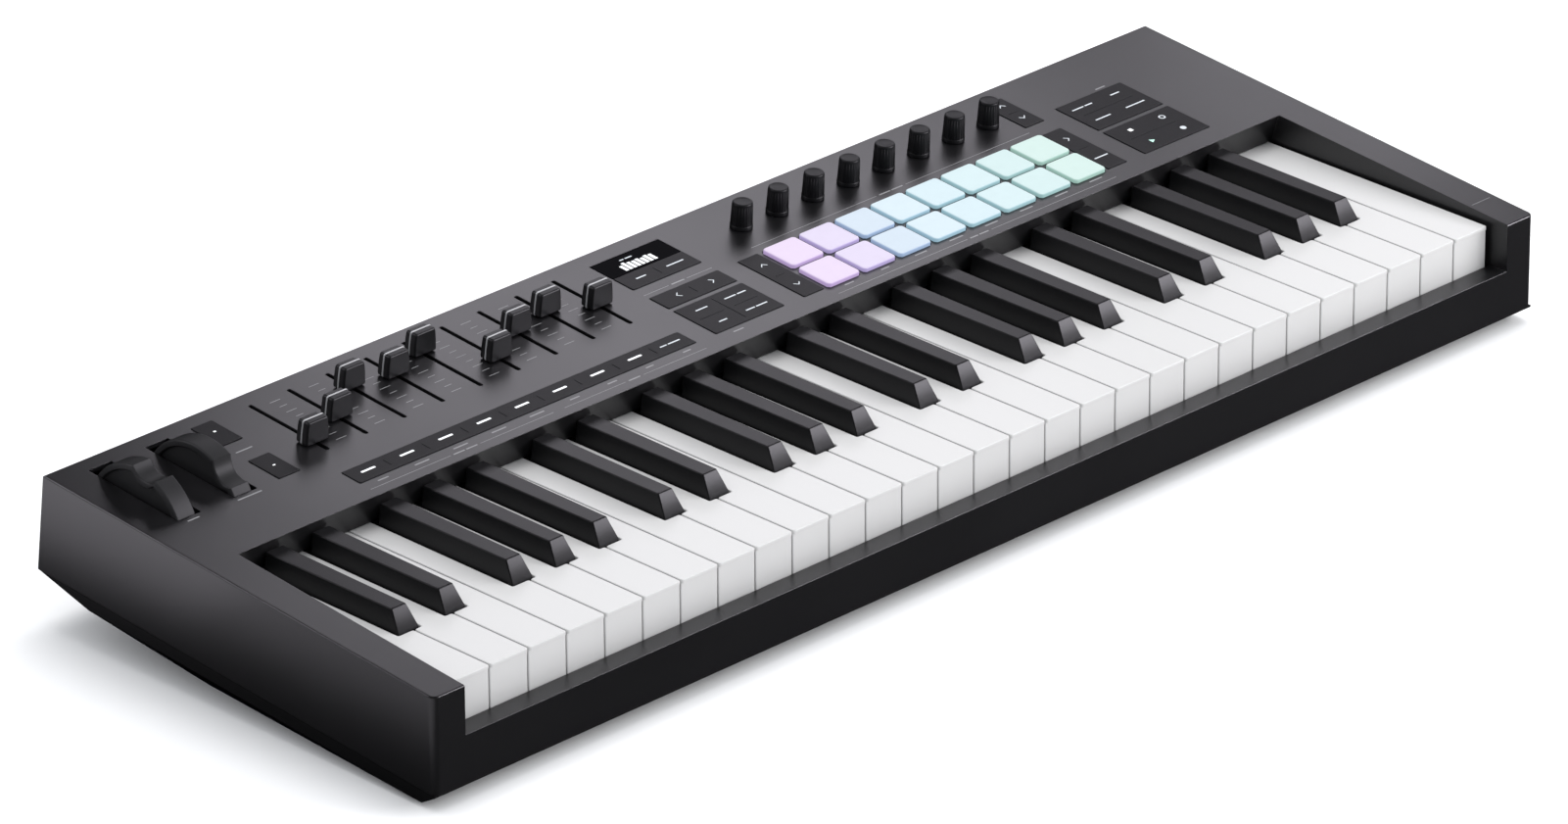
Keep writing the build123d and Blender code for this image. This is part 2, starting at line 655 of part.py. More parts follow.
def encoders():
    """The encoders under the knobs, each a body with a bushing that holds the shaft."""
    pieces = []
    for i in range(KNOB_COUNT):
        place = on_panel(KNOB_X + i * PITCH, KNOB_Y, BOARD_TOP_W)
        body = place * extrude(Rectangle(11.0, 11.6), amount=6.5)
        bushing = place * extrude(Circle(3.6), amount=12.2)
        bore = on_panel(KNOB_X + i * PITCH, KNOB_Y, -8.5)
        bore *= extrude(Circle(STEM_RADIUS + RUNNING_CLEARANCE), amount=20.0)
        pieces.append(body + bushing - bore)
    return pieces


def wheel(x, dimple_angle):
    """A thumb wheel: a rim round a recessed web, a bore and a finger dimple."""
    half = WHEEL_WIDTH / 2
    reach = WHEEL_RADIUS + DIMPLE_RADIUS - DIMPLE_DEPTH
    angle = math.radians(dimple_angle)
    y, z = reach * math.sin(angle), reach * math.cos(angle)
    piece = cross_rod(0, 0, -half, half, WHEEL_RADIUS)
    piece = fillet(piece.edges().filter_by(GeomType.CIRCLE), 1.2)
    recess = 1.8
    for side in (-1, 1):
        ring = cross_rod(0, 0, half - recess, half + 1, WHEEL_RADIUS - WHEEL_RIM)
        ring -= cross_rod(0, 0, half - recess, half + 1, AXLE_RADIUS + 3.5)
        ring -= cross_rod(y, z, half - recess, half + 1, DIMPLE_RADIUS + WHEEL_RIM)
        piece -= ring if side > 0 else mirror(ring, about=Plane.YZ)
    piece -= cross_rod(0, 0, -10, 10, AXLE_RADIUS + RUNNING_CLEARANCE)
    piece -= cross_rod(y, z, -10, 10, DIMPLE_RADIUS)
    return Pos(x, WHEEL_Y, WHEEL_Z) * piece


def wheel_cradle():
    """Three plates hung under the panel and the axle that both wheels turn on."""
    plates = [(14.0, 16.5), (41.7, 44.3), (69.5, 72.0)]
    cradle = cross_rod(WHEEL_Y, WHEEL_Z, plates[0][0], plates[-1][1], AXLE_RADIUS)
    for x0, x1 in plates:
        cradle += panel_block(x0, x1, WHEEL_Y - 12, WHEEL_Y + 12, -24.0, -WALL)
    return cradle


def control_board():
    """The main circuit board, parallel to the panel."""
    low = BOARD_TOP_W - BOARD_THICKNESS
    return panel_block(77.0, 674.0, 158.0, 234.5, low, BOARD_TOP_W)


def display_window():
    return panel_block(*DISPLAY, -1.5, 0.1, -0.05, 0.7)


def display_module():
    """The small screen: a glass panel on a frame that stands on the circuit board."""
    x0, x1, y0, y1 = DISPLAY
    glass = panel_block(x0 + 5, x1 - 5, y0 + 1.5, y1 - 1.5, -4.5, -1.5)
    return glass + panel_block(x0 + 8, x1 - 8, y0 + 2, y0 + 5.5, BOARD_TOP_W, -4.5)


# ---- sockets ----

def usb_midi_sockets():
    """A small oval data socket and a round five-pole socket."""
    usb = RectangleRounded(9.0, 3.3, 1.6) - RectangleRounded(8.4, 2.6, 1.25)
    tongue = Rectangle(6.7, 0.7)
    usb_back = 252.0
    z = SOCKET_BOARD_Z + 1.65
    face = Plane(origin=(USB_X, SOCKET_FACE_Y, z), x_dir=(1, 0, 0), z_dir=(0, -1, 0))
    usb = extrude(face * usb, amount=SOCKET_FACE_Y - usb_back)
    usb += extrude(face * tongue, amount=SOCKET_FACE_Y - usb_back)
    usb += box(USB_X - 4.5, USB_X + 4.5, usb_back, usb_back + 1.5, z - 1.65, z + 1.65)
    midi = box(MIDI_X - 9.5, MIDI_X + 9.5, 238.0, 252.0, SOCKET_BOARD_Z, MIDI_Z + 9.5)
    midi += depth_rod(MIDI_X, MIDI_Z, 250.0, SOCKET_FACE_Y, 8.2)
    midi -= depth_rod(MIDI_X, MIDI_Z, 252.0, SOCKET_FACE_Y + 1, 7.3)
    midi += depth_rod(MIDI_X, MIDI_Z, 251.0, SOCKET_FACE_Y - 0.6, 6.3)
    for i in range(5):
        angle = math.radians(180 + 45 * i)
        x = MIDI_X + 4.2 * math.cos(angle)
        z = MIDI_Z - 4.2 * math.sin(angle)
        midi -= depth_rod(x, z, 254.0, SOCKET_FACE_Y, 0.8)
    return [usb, midi]


def pedal_jack():
    """A 6.35 mm jack socket: a body with a round nose in the back wall."""
    body = box(PEDAL_X - 6.5, PEDAL_X + 6.5, 229.0, 257.0, SOCKET_BOARD_Z, PEDAL_Z + 6.5)
    nose = depth_rod(PEDAL_X, PEDAL_Z, 256.5, SOCKET_FACE_Y, 5.5)
    bore_back = SOCKET_FACE_Y - PEDAL_BORE_LENGTH
    bore = depth_rod(PEDAL_X, PEDAL_Z, bore_back, SOCKET_FACE_Y + 1, PEDAL_BORE_RADIUS)
    return body + nose - bore


def socket_board():
    z = SOCKET_BOARD_Z
    return box(USB_X - 18, LOCK_X + 14, 227.0, 254.0, z - BOARD_THICKNESS, z)


def main():
    os.makedirs("parts", exist_ok=True)
    write(top_shell(), "top_shell")
    write(bottom_pan(), "bottom_pan")
    write(Compound(rubber_feet()), "rubber_feet")
    write(Compound(case_screws()), "case_screws")
    write(key_chassis(), "key_chassis")
    write(key_stop_felt(), "key_stop_felt")
    write(key_contact_board(), "key_contact_board")
    write(key_contact_domes(), "key_contact_domes")
    for name, piece in key_combs().items():
        write(piece, name)
    write(control_board(), "control_board")
    write(display_window(), "display_window")
    write(display_module(), "display_module")
    write(pad_bank(), "pad_bank")
    for name, rectangles in BUTTONS.items():
        write(button_group(rectangles), name)
    for i in range(FADER_COUNT):
        write(fader_cap(i), f"fader_cap_{i + 1}")
    write(Compound(fader_pots()), "fader_pots")
    for i in range(KNOB_COUNT):
        write(knob(i), f"knob_{i + 1}")
    write(Compound(encoders()), "encoders")
    write(wheel(WHEEL_X[0], -12.0), "pitch_wheel")
    write(wheel(WHEEL_X[1], -42.0), "modulation_wheel")
    write(wheel_cradle(), "wheel_cradle")
    write(Compound(usb_midi_sockets()), "usb_midi_sockets")
    write(pedal_jack(), "pedal_jack")
    write(socket_board(), "socket_board")


main()
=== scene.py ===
import bmesh
import bpy
import json
import math
from mathutils import Matrix, Vector


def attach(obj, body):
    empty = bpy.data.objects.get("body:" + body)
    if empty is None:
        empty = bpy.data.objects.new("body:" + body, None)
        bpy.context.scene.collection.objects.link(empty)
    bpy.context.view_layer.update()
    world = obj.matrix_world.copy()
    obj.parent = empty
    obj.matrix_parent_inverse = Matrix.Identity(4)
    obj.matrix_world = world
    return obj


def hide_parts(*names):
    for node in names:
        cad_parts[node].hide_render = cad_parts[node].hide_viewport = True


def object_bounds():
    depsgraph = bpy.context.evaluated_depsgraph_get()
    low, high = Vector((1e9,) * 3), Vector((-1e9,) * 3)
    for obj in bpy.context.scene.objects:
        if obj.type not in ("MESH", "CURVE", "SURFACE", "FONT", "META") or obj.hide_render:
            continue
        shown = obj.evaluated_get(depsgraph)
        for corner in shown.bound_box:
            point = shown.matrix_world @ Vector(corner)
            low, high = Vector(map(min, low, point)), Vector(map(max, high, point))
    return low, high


# ---- The fixed frame ----
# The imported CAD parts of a 49-key keyboard controller. The sections below follow its assembly.
# Sizes are millimetres on the bench: x from the low-key end, y from the front face, and z from a
# level STANCE above the table.
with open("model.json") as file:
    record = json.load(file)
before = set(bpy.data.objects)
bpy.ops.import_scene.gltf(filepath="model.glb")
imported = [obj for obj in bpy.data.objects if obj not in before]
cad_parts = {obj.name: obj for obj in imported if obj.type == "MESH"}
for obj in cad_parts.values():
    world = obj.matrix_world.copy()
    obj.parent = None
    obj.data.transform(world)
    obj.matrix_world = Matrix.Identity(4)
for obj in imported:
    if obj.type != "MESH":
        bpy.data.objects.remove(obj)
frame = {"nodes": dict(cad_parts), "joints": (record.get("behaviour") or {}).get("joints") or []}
cad_low, cad_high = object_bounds()
scene = bpy.context.scene
MM = 0.001
STANCE = 6.4
BENCH = Matrix.Translation((cad_low.x, cad_low.y, STANCE * MM)) @ Matrix.Scale(MM, 4)
press_axis = next(j["axis"] for j in frame["joints"] if j["name"] == "pad_bank_press")
panel_normal = -Vector(press_axis).normalized()
panel_reach = max(v.co.dot(panel_normal) for v in frame["nodes"]["top_shell"].data.vertices)


def on_panel(x, y, w=0.0):
    """The frame of a spot on the control panel: its z stands on the panel, w above it."""
    spot = BENCH @ Vector((x, y, 0))
    spot.z = (panel_reach - spot.y * panel_normal.y) / panel_normal.z
    spot += panel_normal * w * MM
    upslope = Vector((0, panel_normal.z, -panel_normal.y))
    turn = Matrix((Vector((1, 0, 0)), upslope, panel_normal)).transposed().to_4x4()
    return Matrix.Translation(spot) @ turn @ Matrix.Scale(MM, 4)


# ---- Camera, floor and light ----
# A long lens from the front left, looking down on the keys, over a plain pale floor. Two soft boxes
# and the room light the surfaces. Six cards, which only reflections show, are set for this camera.
azimuth, elevation, roll = math.radians(-44.739), math.radians(25.320), math.radians(-0.258)
toward = Vector((
    math.sin(azimuth) * math.cos(elevation),
    -math.cos(azimuth) * math.cos(elevation),
    math.sin(elevation),
))
level = Vector((math.cos(azimuth), math.sin(azimuth), 0))
upright = toward.cross(level)
across = math.cos(roll) * level + math.sin(roll) * upright
upward = toward.cross(across)
camera = bpy.data.objects.new("camera", bpy.data.cameras.new("camera"))
camera.matrix_world = Matrix.Translation((-3.09339, -3.10602, 2.10368)) @ (
    Matrix((across, upward, toward)).transposed().to_4x4()
)
camera.data.lens = 238.37
camera.data.clip_end = 60
scene.collection.objects.link(camera)
scene.camera = camera
scene.view_settings.view_transform = "Standard"


def node(tree, kind, inputs=None, **settings):
    """A node with its settings, and its inputs by name or number: values, or sockets to link."""
    made = tree.nodes.new(kind)
    for name, value in settings.items():
        setattr(made, name, value)
    for name, value in (inputs or {}).items():
        if isinstance(value, bpy.types.NodeSocket):
            tree.links.new(value, made.inputs[name])
        else:
            made.inputs[name].default_value = value
    return made


def moulded(
    name, colour, roughness, grain=0.4, depth=0.02, spread=0.12, patch=0.05, soft=0, **shader_inputs
):
    """A moulded finish: fine grain, slow changes of tone and gloss, and edges softened over soft mm."""
    material = bpy.data.materials.new(name)
    material.use_nodes = True
    tree = material.node_tree
    shader = tree.nodes["Principled BSDF"]
    for socket, value in shader_inputs.items():
        shader.inputs[socket.replace("_", " ")].default_value = value
    place = node(tree, "ShaderNodeTexCoord").outputs["Object"]
    slow = node(tree, "ShaderNodeTexNoise", {"Vector": place, "Scale": 1 / patch, "Detail": 4.0})
    fine = node(tree, "ShaderNodeTexNoise", {"Vector": place, "Scale": 1 / (grain * MM), "Detail": 2.0})
    dark = [c * (1 - spread) for c in colour] + [1]
    light = [c * (1 + spread) for c in colour] + [1]
    tone = node(tree, "ShaderNodeMix", {0: slow.outputs["Fac"], 6: dark, 7: light}, data_type="RGBA")
    gloss = node(tree, "ShaderNodeMapRange", {"Value": slow.outputs["Fac"]})
    gloss.inputs["To Min"].default_value = roughness - 0.03
    gloss.inputs["To Max"].default_value = roughness + 0.03
    bump = node(tree, "ShaderNodeBump", {"Height": fine.outputs["Fac"], "Distance": depth * MM})
    if soft:
        edge = node(tree, "ShaderNodeBevel", {"Radius": soft * MM}, samples=6)
        tree.links.new(edge.outputs["Normal"], bump.inputs["Normal"])
    tree.links.new(tone.outputs[2], shader.inputs["Base Color"])
    tree.links.new(gloss.outputs["Result"], shader.inputs["Roughness"])
    tree.links.new(bump.outputs["Normal"], shader.inputs["Normal"])
    return material


floor_mesh = bmesh.new()
bmesh.ops.create_grid(floor_mesh, x_segments=8, y_segments=8, size=12)
floor_data = bpy.data.meshes.new("floor")
floor_mesh.to_mesh(floor_data)
floor_mesh.free()
floor_data.materials.append(moulded(
    "studio_floor", (0.965, 0.965, 0.97), 0.8, grain=3, spread=0.01, patch=1.0, Specular_IOR_Level=0.1
))
floor = bpy.data.objects.new("floor", floor_data)
floor.visible_glossy = False
scene.collection.objects.link(floor)

world = bpy.data.worlds.new("dim_room")
scene.world = world
world.use_nodes = True
world.node_tree.nodes["Background"].inputs["Color"].default_value = (0.95, 0.97, 1.0, 1)
world.node_tree.nodes["Background"].inputs["Strength"].default_value = 0.95
world.cycles_visibility.glossy = False
CARD_TINT = (1.0, 0.965, 1.05)


def soft_box(name, place, aim, width, height, power, glossy=True, diffuse=True):
    """A rectangular light: without glossy no reflection shows it, without diffuse only they do."""
    lamp = bpy.data.lights.new(name, "AREA")
    lamp.color = (1, 1, 1) if diffuse else CARD_TINT
    lamp.shape = "RECTANGLE"
    lamp.size = width
    lamp.size_y = height
    lamp.energy = power
    box = bpy.data.objects.new(name, lamp)
    box.location = place
    box.rotation_euler = (Vector(place) - Vector(aim)).to_track_quat("Z", "Y").to_euler()
    box.visible_glossy = glossy
    box.visible_diffuse = diffuse
    scene.collection.objects.link(box)


soft_box("overhead", (0.20, 0.28, 2.2), (0, 0, 0), 1.8, 1.4, 26, glossy=False)
soft_box("front_fill", (1.5, -1.6, 1.0), (0, 0, 0.04), 1.6, 1.2, 36, glossy=False)
soft_box("panel_glow", (0.435, 0.515, 0.49), (-0.01, 0.08, 0.06), 0.46, 0.34, 1.4, diffuse=False)
soft_box("cheek_glow", (1.0, 0.5, 0.5), (0.34, -0.13, 0.05), 0.25, 0.25, 0.6, diffuse=False)
soft_box("front_glow", (0.954, -0.993, 0.637), (0, 0, 0.04), 0.8, 0.8, 42, diffuse=False)
soft_box("edge_glow", (-0.78, 0.65, 0.62), (-0.3, 0, 0.05), 0.5, 0.5, 4.5, diffuse=False)
soft_box("side_glow", (-0.59, 0.29, 0.004), (-0.59, 0.29, 1), 0.34, 0.42, 0.95, diffuse=False)
soft_box("side_front_glow", (-0.59, -0.15, 0.004), (-0.59, -0.15, 1), 0.34, 0.44, 0.5, diffuse=False)


# ---- Top case ----
# The one-piece upper shell of the case, injection moulded in black ABS with a fine satin texture:
# control panel, cheeks, rear wall, fallboard and the shelf in front of the keys.
def offset(corners, inset):
    """The corners moved in by inset, for corners that run anticlockwise."""
    moved = []
    for i, here in enumerate(corners):
        before, after = corners[i - 1], corners[(i + 1) % len(corners)]
        a = Vector((before[1] - here[1], here[0] - before[0])).normalized()
        b = Vector((here[1] - after[1], after[0] - here[0])).normalized()
        moved.append(Vector(here) + (a + b) * inset / (1 + a.dot(b)))
    return moved


def rounded(corners, radius, steps=3):
    """The corners, each drawn out to a short curve."""
    outline = []
    for i, here in enumerate(corners):
        here = Vector(here)
        sides = [Vector(corners[i - 1]) - here, Vector(corners[(i + 1) % len(corners)]) - here]
        ends = [here + side.normalized() * min(radius, 0.45 * side.length) for side in sides]
        for k in range(steps + 1):
            t = k / steps
            outline.append((1 - t) ** 2 * ends[0] + 2 * t * (1 - t) * here + t * t * ends[1])
    return outline


def skin(bm, rings, material=0):
    """Faces over a stack of rings, closed at both ends."""
    stack = [[bm.verts.new(point) for point in ring] for ring in rings]
    faces = [bm.faces.new(reversed(stack[0])), bm.faces.new(stack[-1])]
    for low, high in zip(stack, stack[1:]):
        for i in range(len(low)):
            j = (i + 1) % len(low)
            faces.append(bm.faces.new((low[i], low[j], high[j], high[i])))
    for face in faces:
        face.material_index = material
    return faces


def slab(bm, corners, low, high, corner=0.3, edge=0.2, steps=3, material=0):
    """A plate on an outline, rounded at its corners and along its upper edge."""
    levels = [(0.0, low)]
    for k in range(steps + 1):
        angle = math.pi / 2 * k / steps
        levels.append((edge * (1 - math.cos(angle)), high - edge + edge * math.sin(angle)))
    rings = []
    for inset, z in levels:
        outline = rounded(offset(corners, inset), max(corner - inset, 0.02), steps)
        rings.append([(p.x, p.y, z) for p in outline])
    return skin(bm, rings, material)


def rectangle(x0, x1, y0, y1):
    return [(x0, y0), (x1, y0), (x1, y1), (x0, y1)]


def baked(thing):
    """The piece with its modifiers made part of its mesh."""
    graph = bpy.context.evaluated_depsgraph_get()
    mesh = bpy.data.meshes.new_from_object(thing.evaluated_get(graph), depsgraph=graph)
    thing.modifiers.clear()
    rough = thing.data
    thing.data = mesh
    bpy.data.meshes.remove(rough)
    return thing


def piece(name, bm, place, *materials, crease=38):
    """A piece from its mesh code, put in its place, smooth but for its creases."""
    mesh = bpy.data.meshes.new(name)
    bm.to_mesh(mesh)
    bm.free()
    mesh.transform(place)
    for material in materials:
        mesh.materials.append(material)
    mesh.shade_smooth()
    mesh.set_sharp_from_angle(angle=math.radians(crease))
    made = bpy.data.objects.new(name, mesh)
    scene.collection.objects.link(made)
    made.modifiers.new("flat_faces_stay_flat", "WEIGHTED_NORMAL").keep_sharp = True
    return baked(made)


def dress(node_name, material):
    """Give a CAD part its finish."""
    data = frame["nodes"][node_name].data
    data.materials.clear()
    data.materials.append(material)


satin_abs = moulded(
    "satin_abs", (0.0062, 0.0060, 0.0068), 0.35, grain=0.35, depth=0.012, patch=0.08, soft=0.5
)
dress("top_shell", satin_abs)


# ---- Bottom pan, feet and screws ----
# The tray under the case, moulded in black ABS with a coarser texture, screwed up into the shell's
# bosses with black steel screws. It stands on six round rubber feet glued into recesses.
coarse_abs = moulded(
    "coarse_abs", (0.004, 0.004, 0.0045), 0.5, grain=0.6, depth=0.03, patch=0.06, Specular_IOR_Level=0.15
)
dress("bottom_pan", coarse_abs)
dress("rubber_feet", moulded("foot_rubber", (0.02, 0.02, 0.02), 0.8, grain=0.8, depth=0.05))
dress(
    "case_screws",
    moulded("black_oxide", (0.05, 0.05, 0.055), 0.35, grain=0.2, depth=0.01, Metallic=0.9),
)


# ---- White keys ----
# Hollow covers moulded in white ABS, with a polished top that overhangs the front by a small lip.
# The keys of an octave are moulded as two combs, joined behind the panel by a bar that hinges.
KEY_PITCH, KEY_GAP, KEYS_X = 23.5, 0.75, 20.9
KEY_FRONT, KEY_LIP, NOTCH, KEY_BACK = 11.7, 0.7, 60.2, 155.0
KEY_TOP, KEY_BOTTOM, LIP_DEPTH = 47.35, 24.0, 2.0
KEY_SKIN, KEY_EDGE = 1.5, 0.55
SHARP_SHIFT = {1: -2.2, 2: 2.6, 4: -3.0, 5: 0.1, 6: 3.6}
SHARP_WIDTH, SHARP_CLEARANCE = 12.6, 0.8
BAR_FRONT, BAR_BACK, BAR_HEIGHT, ARM = 166.0, 178.0, 5.0, 8.0
CEGB_BAR, DFA_BAR, SHARPS_BAR = 24.0, 30.5, 37.0
PLUNGER = 105.0
OCTAVES, TOP_WHITE = 4, 28


def sharp_middle(boundary):
    """The x of the black key over a boundary between white keys, or None where there is none."""
    if boundary % 7 not in SHARP_SHIFT or boundary >= TOP_WHITE:
        return None
    return KEYS_X + boundary * KEY_PITCH + SHARP_SHIFT[boundary % 7]


def key_plan(index, front):
    """A white key's outline from above, with notches for its black neighbours."""
    x0 = KEYS_X + index * KEY_PITCH + KEY_GAP / 2
    x1 = x0 + KEY_PITCH - KEY_GAP
    notch = SHARP_WIDTH / 2 + SHARP_CLEARANCE
    left, right = sharp_middle(index), sharp_middle(index + 1)
    plan = [(x0, front), (x1, front)]
    plan += [(x1, KEY_BACK)] if right is None else [
        (x1, NOTCH), (right - notch, NOTCH), (right - notch, KEY_BACK)
    ]
    plan += [(x0, KEY_BACK)] if left is None else [
        (left + notch, KEY_BACK), (left + notch, NOTCH), (x0, NOTCH)
    ]
    return plan


def bar(bm, x0, x1, y0, y1, z0, z1):
    slab(bm, rectangle(x0, x1, y0, y1), z0, z1, corner=0.4, edge=0.3, steps=1)


def arm_and_post(bm, x, bar_z, top):
    """The arm to the comb's bar, and the post that works the key's contact."""
    bar(bm, x - ARM / 2, x + ARM / 2, KEY_BACK - 3, BAR_FRONT + 1, bar_z, bar_z + BAR_HEIGHT)
    bar(bm, x - 2, x + 2, PLUNGER - 2, PLUNGER + 2, KEY_BOTTOM, top)


def white_key(bm, index, bar_z):
    body, cover = key_plan(index, KEY_FRONT), key_plan(index, KEY_FRONT - KEY_LIP)
    under = KEY_TOP - LIP_DEPTH
    levels = [
        (body, KEY_SKIN, under, 0.5), (body, KEY_SKIN, KEY_BOTTOM, 0.5), (body, 0.2, KEY_BOTTOM, 0.5),
        (body, 0.0, KEY_BOTTOM + 0.2, 0.6), (body, 0.0, under, 0.6), (cover, 0.2, under, 1.2),
        (cover, 0.06, under + 0.06, 1.3), (cover, 0.0, under + 0.2, 1.4),
    ]
    for k in range(5):
        angle = math.pi / 8 * k
        inset = KEY_EDGE * (1 - math.cos(angle))
        levels.append((cover, inset, KEY_TOP - KEY_EDGE + KEY_EDGE * math.sin(angle), 1.4 - inset))
    rings = []
    for plan, inset, z, corner in levels:
        rings.append([(p.x, p.y, z) for p in rounded(offset(plan, inset), corner, 4)])
    skin(bm, rings)
    tail = [x for x, y in body if y == KEY_BACK]
    arm_and_post(bm, sum(tail) / 2, bar_z, under + 1.0)


white_abs = moulded(
    "white_abs", (0.52, 0.515, 0.513), 0.3, grain=0.5, depth=0.006, spread=0.012, patch=0.03,
    Specular_IOR_Level=0.1,
)
COMBS = {"cegb": ((0, 2, 4, 6), CEGB_BAR), "dfa": ((1, 3, 5), DFA_BAR)}
for octave in range(OCTAVES):
    for comb_name, (steps_of_octave, bar_z) in COMBS.items():
        comb = bmesh.new()
        keys = [octave * 7 + step for step in steps_of_octave]
        for key in keys:
            white_key(comb, key, bar_z)
        x0 = KEYS_X + (octave * 7 + (comb_name == "dfa")) * KEY_PITCH + KEY_GAP / 2
        x1 = KEYS_X + (octave * 7 + 7 - (comb_name == "dfa")) * KEY_PITCH - KEY_GAP / 2
        bar(comb, x0, x1, BAR_FRONT, BAR_BACK, bar_z, bar_z + BAR_HEIGHT)
        body = f"naturals_{comb_name}_{octave + 1}"
        keys_piece = piece(f"white_keys_{comb_name}_{octave + 1}", comb, BENCH, white_abs)
        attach(keys_piece, body)
        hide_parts(body)
top_key = bmesh.new()
white_key(top_key, TOP_WHITE, CEGB_BAR)
top_x = KEYS_X + TOP_WHITE * KEY_PITCH + KEY_GAP / 2
bar(top_key, top_x, top_x + KEY_PITCH - KEY_GAP, BAR_FRONT, BAR_BACK, CEGB_BAR, CEGB_BAR + BAR_HEIGHT)
top_key_piece = piece("white_key_top_c", top_key, BENCH, white_abs)
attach(top_key_piece, "natural_top_c")
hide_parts("natural_top_c")


# ---- Black keys ----
# Moulded in satin black ABS: narrow tops, leaning sides and a long sloping front, with soft edges.
# The five of an octave share one bar above those of the white keys.
SHARP_BOTTOM, SHARP_TOP = 34.0, 57.3
SHARP_FRONT, SHARP_CROWN_FRONT, SHARP_BACK = 61.2, 67.3, 149.2
CROWN_FRONT_WIDTH, CROWN_BACK_WIDTH = 8.7, 10.4
SHARP_EDGE = 0.5


def sharp_section(x, rise, inset):
    """The key's outline at a share of its height above the white keys."""
    front = SHARP_WIDTH / 2 + rise * (CROWN_FRONT_WIDTH - SHARP_WIDTH) / 2
    back = SHARP_WIDTH / 2 + rise * (CROWN_BACK_WIDTH - SHARP_WIDTH) / 2
    y = SHARP_FRONT + rise * (SHARP_CROWN_FRONT - SHARP_FRONT)
    corners = [(x - front, y), (x + front, y), (x + back, SHARP_BACK), (x - back, SHARP_BACK)]
    return rounded(offset(corners, inset), max(0.6 - inset, 0.1), 3)


def black_key(bm, boundary):
    x = sharp_middle(boundary)
    levels = [
        (0, KEY_SKIN, KEY_TOP - 1.0), (0, KEY_SKIN, SHARP_BOTTOM), (0, 0.2, SHARP_BOTTOM),
        (0, 0.0, SHARP_BOTTOM + 0.2), (0, 0.0, KEY_TOP),
    ]
    for k in range(5):
        angle = math.pi / 8 * k
        z = SHARP_TOP - SHARP_EDGE + SHARP_EDGE * math.sin(angle)
        rise = (z - KEY_TOP) / (SHARP_TOP - KEY_TOP)
        levels.append((rise, SHARP_EDGE * (1 - math.cos(angle)), z))
    skin(bm, [[(p.x, p.y, z) for p in sharp_section(x, rise, inset)] for rise, inset, z in levels])
    arm_and_post(bm, x, SHARPS_BAR, KEY_TOP - 0.5)
    bar(bm, x - 5.5, x + 5.5, SHARP_BACK - 1, KEY_BACK, SHARP_BOTTOM, KEY_TOP - 0.3)


black_abs = moulded(
    "black_abs", (0.005, 0.005, 0.0056), 0.4, grain=0.3, depth=0.008, patch=0.05, Specular_IOR_Level=0.2
)
for octave in range(OCTAVES):
    comb = bmesh.new()
    middles = []
    for step in SHARP_SHIFT:
        black_key(comb, octave * 7 + step)
        middles.append(sharp_middle(octave * 7 + step))
    bar(
        comb, middles[0] - ARM / 2, middles[-1] + ARM / 2, BAR_FRONT, BAR_BACK, SHARPS_BAR,
        SHARPS_BAR + BAR_HEIGHT,
    )
    keys_piece = piece(f"black_keys_{octave + 1}", comb, BENCH, black_abs)
    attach(keys_piece, f"sharps_{octave + 1}")
    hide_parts(f"sharps_{octave + 1}")


# ---- Key bed ----
# A black tray that carries the combs, with a red felt strip to stop the keys, and a circuit board
# with a strip of grey silicone contact domes under the posts of the keys.
dress("key_chassis", moulded("tray_abs", (0.012, 0.012, 0.013), 0.5, grain=0.8, depth=0.03))
felt = moulded("red_felt", (0.16, 0.012, 0.014), 0.95, grain=0.25, depth=0.2, spread=0.4, patch=0.002)
felt.node_tree.nodes["Principled BSDF"].inputs["Sheen Weight"].default_value = 0.4
dress("key_stop_felt", felt)


def circuit_board(name):
    """Green solder mask, darker where it runs over copper tracks."""
    material = moulded(name, (0.01, 0.05, 0.022), 0.35, grain=0.5, depth=0.01)
    tree = material.node_tree
    shader = tree.nodes["Principled BSDF"]
    place = node(tree, "ShaderNodeTexCoord").outputs["Object"]
    tracks = node(
        tree,
        "ShaderNodeTexBrick",
        {"Vector": place, "Scale": 1.0, "Mortar Size": 0.0006, "Brick Width": 0.011, "Row Height": 0.0035},
    )
    tracks.inputs["Color1"].default_value = (0.008, 0.045, 0.018, 1)
    tracks.inputs["Color2"].default_value = (0.010, 0.055, 0.022, 1)
    tracks.inputs["Mortar"].default_value = (0.03, 0.13, 0.05, 1)
    tree.links.new(tracks.outputs["Color"], shader.inputs["Base Color"])
    return material


board_green = circuit_board("solder_mask")
for board in ("key_contact_board", "control_board", "socket_board"):
    dress(board, board_green)
dress("key_contact_domes", moulded("grey_silicone", (0.22, 0.22, 0.23), 0.6, grain=0.5, depth=0.02))


# ---- Pads ----
# Sixteen square pads with cut corners, moulded with one web in translucent silicone. A lamp under
# each lights it from below: pale on top, deeper in colour down its sides.
TILT_COS = panel_normal.z
PANEL = on_panel(0, 0)
PITCH = 24.0
PAD_X, PAD_ROWS, PAD_SIZE, PAD_CUT = 415.7, (171.1, 195.0), 21.4, 1.3
PAD_FOOT, PAD_TOP, PAD_EDGE = -7.0, 1.9, 0.9
PAD_COLUMNS, WEB_MARGIN, WEB_THICKNESS = 8, 0.4, 1.6
PAD_TOPS = (
    (0.92, 0.78, 0.99), (0.86, 0.78, 0.98), (0.74, 0.85, 0.96), (0.78, 0.92, 0.99),
    (0.76, 0.92, 0.98), (0.76, 0.93, 0.96), (0.74, 0.92, 0.92), (0.74, 0.93, 0.88),
)
PAD_SIDES = (
    (0.70, 0.52, 0.90), (0.62, 0.52, 0.90), (0.46, 0.62, 0.88), (0.46, 0.71, 0.86),
    (0.46, 0.73, 0.83), (0.47, 0.74, 0.80), (0.47, 0.74, 0.74), (0.50, 0.77, 0.68),
)


